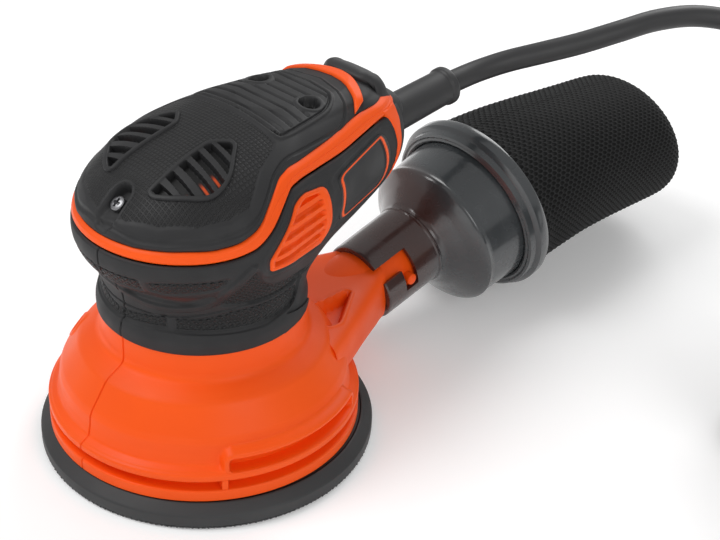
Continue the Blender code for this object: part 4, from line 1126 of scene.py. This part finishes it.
def makeCover():
    rimRows, capRows = 118, 40
    around = bodyColumns(rimRows + capRows)
    share = np.concatenate([np.linspace(0, 1, rimRows), np.ones(capRows)])[:, None]
    flat = np.concatenate([np.zeros(rimRows), np.linspace(0, 1, capRows + 1)[1:]])[:, None]
    base = bandEdge(bandHigh, around) + bodySet["gap"]
    top = stations[-1][0]
    height = base + (top - base) * (1 - (1 - share) ** 2)
    points = bodyPoint(around, height, 0.0, flat)
    x, y = points[..., 0] * 1000, points[..., 1] * 1000
    normal = gridNormals(points, True)
    normal[rimRows:] = (0, 0, 1)
    side = np.abs(x)
    lift = np.zeros_like(x)
    stud = outlineDistance(x, y, mirrored(coverSet["studs"]))
    lift -= 0.30 * (1 - step(stud, -0.5, 0.4))
    rim = pathDistance(side, y, softened(coverSet["rim"], 2, False))
    lift -= ridge(rim, 1.1, 0.5)
    inside = outlineDistance(side, y, [(-5, -42.7)] + coverSet["rim"] + [(-5, 55)])
    lift -= 0.45 * step(inside, 0.2, 1.6)
    saddle = outlineDistance(x, y, softened(mirrored(coverSet["saddle"]), 2))
    lift += 0.35 * (1 - step(saddle, -0.3, 0.4)) - ridge(saddle + 1.5, 1.1, 0.70)
    well = coverSet["well"]
    hole = np.hypot(side - well["place"][0], y - well["place"][1])
    for place in coverSet["grooves"]:
        ends = np.maximum(np.abs(y - place) - 0.5, saddle + 2.6)
        ends = np.maximum(ends, well["radius"] + 2.4 - hole)
        lift -= 0.95 * (1 - step(ends, -0.35, 0.35))
    lift += ridge(hole - well["radius"] - 0.9, 1.9, 0.35)
    lift -= well["depth"] * (1 - step(hole, well["radius"] - 0.35, well["radius"] + 0.25))
    scoop = outlineDistance(x, y, softened(coverSet["scoop"], 2))
    lift += ridge(scoop - 0.5, 1.5, 0.25) * (y > -41)
    dug = 4.2 * (1 - step(scoop, -1.1, 0.1)) * (0.25 + 0.75 * step(y, -43.5, -34.5))
    lift -= dug
    # arch over the tail: its own orange ridge lies in this shallow bed
    arch = coverSet["arch"]
    band = arch["front"] + arch["rear"][::-1]
    lift -= 0.5 * (1 - step(outlineDistance(side, y, [(-4, 60.6)] + band + [(-4, 66.4)]), -0.6, 0.2))
    lift -= 3.6 * (1 - step(outlineDistance(side, y, roundedOutline(leaf, 3.0)), -1.4, -0.5))
    rolled = np.linalg.norm(points - points[:1], axis=2) * 1000
    lift -= 0.9 * (1 - np.sqrt(np.clip(rolled / 0.9, 0, 1)))
    # painted shade: the pit mark turns the floor of each screw well near black
    marks = {"studs": (1 - step(stud, -0.9, -0.4)) * step(scoop, 0.8, 1.4), "ember": np.zeros_like(x),
             "pitShade": 0.85 * (1 - step(hole, well["radius"] - 0.9, well["radius"] - 0.1))}
    points = points + normal * lift[..., None] / 1000
    cover = addGrid("coverSkin", points, "coverSkin", "root", wrap=True, slot="black_grip", marks=marks, sharp=60)
    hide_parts("top_cover")
    for hand, label in ((1, "Right"), (-1, "Left")):
        surfacePatch("leafVent" + label, "crown", roundedOutline(leaf, 3.0), hand, "coverSkin", leafShape,
                     slot="black_grip", sharp=50)


def makeArch():
    # the orange arch that runs over the tail just in front of the switch, as a patch in plan
    arch = coverSet["arch"]
    front = softened(arch["front"][:-1], 2, False)
    rear = softened(arch["rear"][:-1], 2, False)
    half = [tuple(p) for p in front] + [tuple(p) for p in rear[::-1]]
    outline = [tuple(p) for p in front] + [tuple(p) for p in rear[::-1]] + [(-p[0], p[1]) for p in rear[1:]] \
        + [(-p[0], p[1]) for p in front[::-1]]
    del half

    def archShape(u, v, gap):
        return 0.50 * np.sqrt(np.clip(-gap / 0.8, 0, 1)), {"pitShade": np.zeros_like(u)}

    surfacePatch("tailArch", "crown", outline, 1, "orangeShell", archShape, slot="orange_shell", sharp=50)


stripSet = {
    "corner": [(0.728, 118.0), (0.727, 112.0), (0.733, 100.0), (0.741, 92.5), (0.747, 90.0), (0.755, 93.0),
               (0.764, 100.0), (0.776, 108.0), (0.800, 113.5), (0.84, 117.5)],
}


def makeStrips():
    def stripShape(u, v, gap):
        return 0.30 * np.sqrt(np.clip(-gap / 0.9, 0, 1)), {"pitShade": np.zeros_like(u)}

    outline = scaled(stripSet["corner"], 1)
    for side, label in ((1, "Right"), (-1, "Left")):
        surfacePatch("tailStrip" + label, "side", outline, side, "orangeShell", stripShape, spacing=0.3,
                     slot="orange_shell", sharp=50)


# screws: a domed head with a cross driven into it

screwSet = {
    "front": {"place": (0.0012, -0.0356, 0.1078), "lean": 38, "tilt": 0, "node": "cover_screw_front"},
    "right": {"place": (0.0134, 0.0374, 0.1222), "lean": 0, "tilt": 8, "node": "cover_screw_right"},
    "left": {"place": (-0.0134, 0.0374, 0.1222), "lean": 0, "tilt": -8, "node": "cover_screw_left"},
    "radius": 0.0027, "cross": 0.00045, "reach": 0.0016,
}


def makeScrew(name):
    item = screwSet[name]
    turn = Matrix.Rotation(math.radians(item["lean"]), 3, "X") @ Matrix.Rotation(math.radians(item["tilt"]), 3, "Y")
    radii = np.concatenate([[1.0, 1.0], np.linspace(1.0, 0.0, 46)])
    angles = np.linspace(0, 2 * math.pi, 96, endpoint=False)
    out = radii[:, None] * screwSet["radius"]
    x, y = out * np.cos(angles), out * np.sin(angles)
    z = 0.0009 * np.sqrt(np.clip(1 - radii ** 2 * 0.92, 0, 1))[:, None] + 0 * x
    z[0], z[1] = -0.0020, -0.0002
    arms = np.minimum(np.maximum(np.abs(x) - screwSet["cross"], np.abs(y) - screwSet["reach"]),
                      np.maximum(np.abs(y) - screwSet["cross"], np.abs(x) - screwSet["reach"]))
    z[2:] -= (0.0016 * (1 - step(arms, -0.00012, 0.00008)))[2:]
    points = np.stack([x, y, z], 2) @ np.array(turn).T + np.array(item["place"])
    head = addGrid("coverScrew" + name.capitalize(), points, "screwSteel", "root", wrap=True, slot="screw_steel",
                   sharp=50)
    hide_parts(item["node"])


# switch boot over the rocker

bootSet = {
    # y, height, half width
    "rows": [(0.0645, 0.1262, 0.0118), (0.0665, 0.1280, 0.0132), (0.0690, 0.1288, 0.0142), (0.0720, 0.1284, 0.0150),
             (0.0750, 0.1268, 0.0155), (0.0776, 0.1238, 0.0158), (0.0792, 0.1208, 0.0158), (0.0808, 0.1186, 0.0158),
             (0.0830, 0.1174, 0.0157), (0.0858, 0.1158, 0.0153), (0.0882, 0.1130, 0.0147), (0.0896, 0.1096, 0.0140),
             (0.0900, 0.1062, 0.0130)],
}


def makeBoot():
    line = smoothLine([(0, y, z) for y, z, half in bootSet["rows"]], 0.00035)
    reach = np.concatenate([[0], np.cumsum(np.linalg.norm(np.diff(np.array(bootSet["rows"])[:, :2], axis=0), axis=1))])
    walked = np.linspace(0, reach[-1], len(line))
    table = [(at, half) for at, (y, z, half) in zip(reach, bootSet["rows"])]
    sizes = smoothTable(table, walked)[:, 0]
    ahead = np.gradient(line, axis=0)
    ahead /= np.linalg.norm(ahead, axis=1, keepdims=True)
    up = np.stack([np.zeros(len(line)), -ahead[:, 2], ahead[:, 1]], 1)
    count = 120
    rows = []
    for centre, lift, half, at in zip(line, up, sizes, walked):
        shares = np.linspace(-1, 1, count)
        side = half * np.sin(shares * math.pi / 2)
        fall = 0.0095 * (1 - np.cos(shares * math.pi / 2)) ** 1.6
        ends = min(at, reach[-1] - at)
        sink = 0.0016 * (1 - math.sqrt(min(1.0, ends / 0.0016)))
        hollow = 0.0008 * math.exp(-((centre[1] - 0.0722) / 0.0042) ** 2) * (1 - step(np.abs(side), 0.0070, 0.0100))
        rows.append(centre + np.outer(side, (1, 0, 0)) - np.outer(fall + sink + hollow, lift))
    points = np.array(rows)[:, ::-1]
    boot = addGrid("switchBoot", points, "bootRubber", "switch", slot="black_rubber", sharp=50)
    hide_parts("switch_rocker")
    # a small raised open ring on the boot, for off
    mark = []
    for k in range(40):
        angle = 2 * math.pi * k / 40
        mark.append((0.0018 * math.cos(angle), 0.0812 + 0.0013 * math.sin(angle),
                     0.1196 - 0.0013 * 0.45 * math.sin(angle)))
    ribbon("switchMark", mark[::-1], [(0, 0.45, 0.9)] * 40, barSection(0.0007, 0.0005, 0.0006, 0.0002),
           "bootRubber", "switch", True, slot="black_rubber")


# dust canister: smoked funnel with bayonet notches, and the collar that holds the bag

canisterSet = {
    "outside": [(-0.0035, 0.0164), (-0.0033, 0.0169), (-0.0027, 0.0171), (0.0250, 0.0174), (0.0255, 0.0179),
                (0.0262, 0.0180), (0.0268, 0.0176), (0.0273, 0.0173), (0.0288, 0.0182), (0.0310, 0.0211),
                (0.0340, 0.0250), (0.0368, 0.0291), (0.0384, 0.0312), (0.0392, 0.0320), (0.0400, 0.0324),
                (0.0408, 0.0322), (0.0418, 0.0319), (0.0530, 0.0328), (0.0582, 0.0333), (0.0612, 0.0336),
                (0.0617, 0.0342), (0.0613, 0.0349), (0.0592, 0.0355), (0.0587, 0.0364), (0.0592, 0.0374),
                (0.0618, 0.0378), (0.0624, 0.0388), (0.0632, 0.0396), (0.0645, 0.0398), (0.0672, 0.0397),
                (0.0682, 0.0392), (0.0684, 0.0386)],
    "drop": [(-0.01, 0.0), (0.025, 0.0), (0.033, 0.00215), (0.040, 0.0043), (0.075, 0.0043)],
    "wall": 0.0017, "columns": 288,
    "notch": {"open": (41, 65), "openTo": 13.2, "slot": (65, 99), "slotFrom": 6.6, "slotTo": 13.2},
    "window": {"turns": (-2, 24), "along": (54.2, 57.4), "height": 0.35},
}


def sagDrop(along):
    keys = [row[0] for row in canisterSet["drop"]]
    return np.interp(along, keys, [row[1] for row in canisterSet["drop"]])


def makeCanister():
    points = [np.array(point) for point in canisterSet["outside"]]
    profile = [points[0]]
    for a, b in zip(points, points[1:]):
        spacing = 0.0006 if a[0] < 0.025 else 0.0011
        count = max(1, round(float(np.linalg.norm(b - a)) / spacing))
        profile += [a + (b - a) * (k + 1) / count for k in range(count)]
    profile = np.array(profile)
    columns = canisterSet["columns"]
    degrees = (np.arange(columns) * 360 / columns + 0.001) % 360
    along = profile[:, 0] * 1000
    window = canisterSet["window"]
    signed = (degrees + 180) % 360 - 180
    raised = (step(signed, window["turns"][0] - 0.5, window["turns"][0] + 0.5)
              * (1 - step(signed, window["turns"][1] - 0.5, window["turns"][1] + 0.5)))[None]
    raised = raised * ((along > window["along"][0]) & (along < window["along"][1]))[:, None] * window["height"] / 1000

    def wallPoints(inset):
        rings = []
        for (at, radius), bulge in zip(profile, raised):
            ring = max(radius - inset, 0.001) + bulge * (inset == 0)
            angles = np.radians(degrees)
            centre = np.array(portPlace(at, -float(sagDrop(at))))
            rings.append(centre + np.outer(np.cos(angles) * ring, np.array(portUp))
                         + np.outer(np.sin(angles) * ring, (1, 0, 0)))
        return np.array(rings)

    outer, inner = wallPoints(0), wallPoints(canisterSet["wall"])
    rows = len(profile)
    middle = (along[1:] + along[:-1]) / 2
    turn = (degrees + 180 / columns) % 180
    notch = canisterSet["notch"]
    opened = ((turn > notch["open"][0]) & (turn < notch["open"][1]))[None] & (middle < notch["openTo"])[:, None]
    slot = ((turn > notch["slot"][0]) & (turn < notch["slot"][1]))[None] \
        & ((middle > notch["slotFrom"]) & (middle < notch["slotTo"]))[:, None]
    kept = ~(opened | slot)
    faces = []
    total = rows * columns
    for i in range(rows - 1):
        for j in range(columns):
            if not kept[i, j]:
                continue
            m = (j + 1) % columns
            a, b, c, d = i * columns + j, i * columns + m, (i + 1) * columns + m, (i + 1) * columns + j
            faces.append((a, b, c, d))
            faces.append((a + total, d + total, c + total, b + total))
            if i == 0 or not kept[i - 1, j]:
                faces.append((b, a, a + total, b + total))
            if i == rows - 2 or not kept[i + 1, j]:
                faces.append((d, c, c + total, d + total))
            if not kept[i, m]:
                faces.append((c, b, b + total, c + total))
            if not kept[i, (j - 1) % columns]:
                faces.append((a, d, d + total, a + total))
    vertices = np.concatenate([outer.reshape(-1, 3), inner.reshape(-1, 3)])
    used = sorted({corner for face in faces for corner in face})
    number = {old: new for new, old in enumerate(used)}
    funnel = addPiece("canisterShell", vertices[used], [[number[c] for c in face] for face in faces],
                      "smokedPlastic", "canister", slot="smoked_plastic", sharp=36)
    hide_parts("canister_funnel")
    return funnel


bagSet = {
    "start": 0.0684, "length": 0.1140, "sag": 0.0300, "around": 124, "pitch": 1.75, "cell": 3.4,
    "shape": [(-0.060, 0.0366), (0.0, 0.0374), (0.03, 0.0373), (0.06, 0.0365), (0.20, 0.0356), (0.35, 0.0347),
              (0.55, 0.0339), (0.70, 0.0335), (0.85, 0.0332), (0.90, 0.0329), (0.935, 0.0320), (0.965, 0.0303),
              (0.985, 0.0276), (0.998, 0.0238), (1.006, 0.0180), (1.010, 0.0090), (1.011, 0.0002)],
}


def makeBag(canister):
    table = np.array(bagSet["shape"])
    walked = np.concatenate([[0], np.cumsum(np.hypot(np.diff(table[:, 0]) * bagSet["length"],
                                                     np.diff(table[:, 1])))])
    even = np.linspace(0, walked[-1], 320)
    shares, radii = np.interp(even, walked, table[:, 0]), np.interp(even, walked, table[:, 1])
    kernel = np.array([1, 2, 3, 2, 1]) / 9
    radii[2:-2] = np.convolve(radii, kernel, "valid")
    columns = bagSet["around"] * 6
    angles = np.linspace(0, 2 * math.pi, columns, endpoint=False)
    u = angles / (2 * math.pi) * bagSet["around"] * bagSet["pitch"]
    rings = []
    for at, share, radius in zip(even * 1000, shares, radii):
        row = u / bagSet["pitch"]
        odd = (np.floor(row) % 2) * 0.5
        cell = at / bagSet["cell"] + odd
        swell = np.cos((row % 1 - 0.5) * 2 * math.pi) * 0.10 - 0.13 * np.cos((cell % 1 - 0.5) * 2 * math.pi)
        fold = 0.35 * math.sin(at * 0.052 + 0.6) * np.cos(3 * angles + at * 0.021) * step(share, 0.05, 0.3)
        level = step(radius, 0.002, 0.024)
        size = radius + (swell + fold) * level / 1000
        centre = np.array(portPlace(bagSet["start"] + bagSet["length"] * share, -portSet["drop"]))
        centre[2] -= bagSet["sag"] * max(share, 0.0) ** 1.3
        rings.append(centre + np.outer(np.cos(angles) * size, np.array(portUp))
                     + np.outer(np.sin(angles) * size, (1, 0, 0)))
    across = np.repeat(u[None], len(even), 0)
    seam = 1 - step(np.abs((angles - math.radians(262)) * 34.5), 0.5, 1.3)
    marks = {"across": across, "along": np.repeat(even[:, None] * 1000, columns, 1),
             "seam": np.repeat(seam[None], len(even), 0)}
    points = np.array(rings)
    bag = addGrid("dustSock", points, "bagWeave", "bag", wrap=True, slot="bag_mesh", marks=marks, sharp=180)
    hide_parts("dust_bag")


# the CAD nodes that stay in sight or inside get a finish of their own

nodeLooks = {
    "field_core": "turnedSteel", "armature_core": "turnedSteel", "motor_shaft": "turnedSteel",
    "field_winding_upper": "copperWire", "field_winding_lower": "copperWire", "armature_winding": "copperWire",
    "commutator": "copperWire", "brush_holder_right": "holderBrass", "brush_holder_left": "holderBrass",
    "carbon_brush_right": "brushCarbon", "carbon_brush_left": "brushCarbon",
    "upper_bearing_outer": "turnedSteel", "upper_bearing_inner": "turnedSteel",
    "lower_bearing_outer": "turnedSteel", "lower_bearing_inner": "turnedSteel",
    "bearing_plate": "plateGrey", "bearing_plate_screw_right": "screwSteel",
    "bearing_plate_screw_left": "screwSteel", "brake_ring": "brakeRubber", "fan": "plateGrey",
    "eccentric_hub": "castAlloy", "counterweight": "castAlloy", "pad_bearing_outer": "turnedSteel",
    "platen": "padGrey", "pad_spindle": "turnedSteel", "pad_bearing_inner": "turnedSteel",
    "pad_screw_1": "screwSteel", "pad_screw_2": "screwSteel", "pad_screw_3": "screwSteel",
    "switch_body": "plainBlack",
}


def finishNodes():
    for name, look in nodeLooks.items():
        nodes[name].data.materials.clear()
        nodes[name].data.materials.append(looks[look])


def makeFloor():
    data = bpy.data.meshes.new("paleFloor")
    data.from_pydata([(-4, -4, -0.0002), (4, -4, -0.0002), (4, 4, -0.0002), (-4, 4, -0.0002)], [], [(0, 1, 2, 3)])
    floor = bpy.data.objects.new("paleFloor", data)
    bpy.context.scene.collection.objects.link(floor)
    data.materials.append(looks["paleFloor"])


makeCamera()
makeLights()
makeFloor()
makeCord(makePlug())
print("cord and plug laid out")
makeRelief()
makePad()
makeSkirt()
makePort()
print("pad, skirt and port made")
makeBand()
makeGrip()
makeCover()
makeSidePieces()
makeArch()
makeStrips()
for name in ("front", "right", "left"):
    makeScrew(name)
makeBoot()
print("body skins made")
makeBag(makeCanister())
finishNodes()
print("canister, bag and inner parts finished")
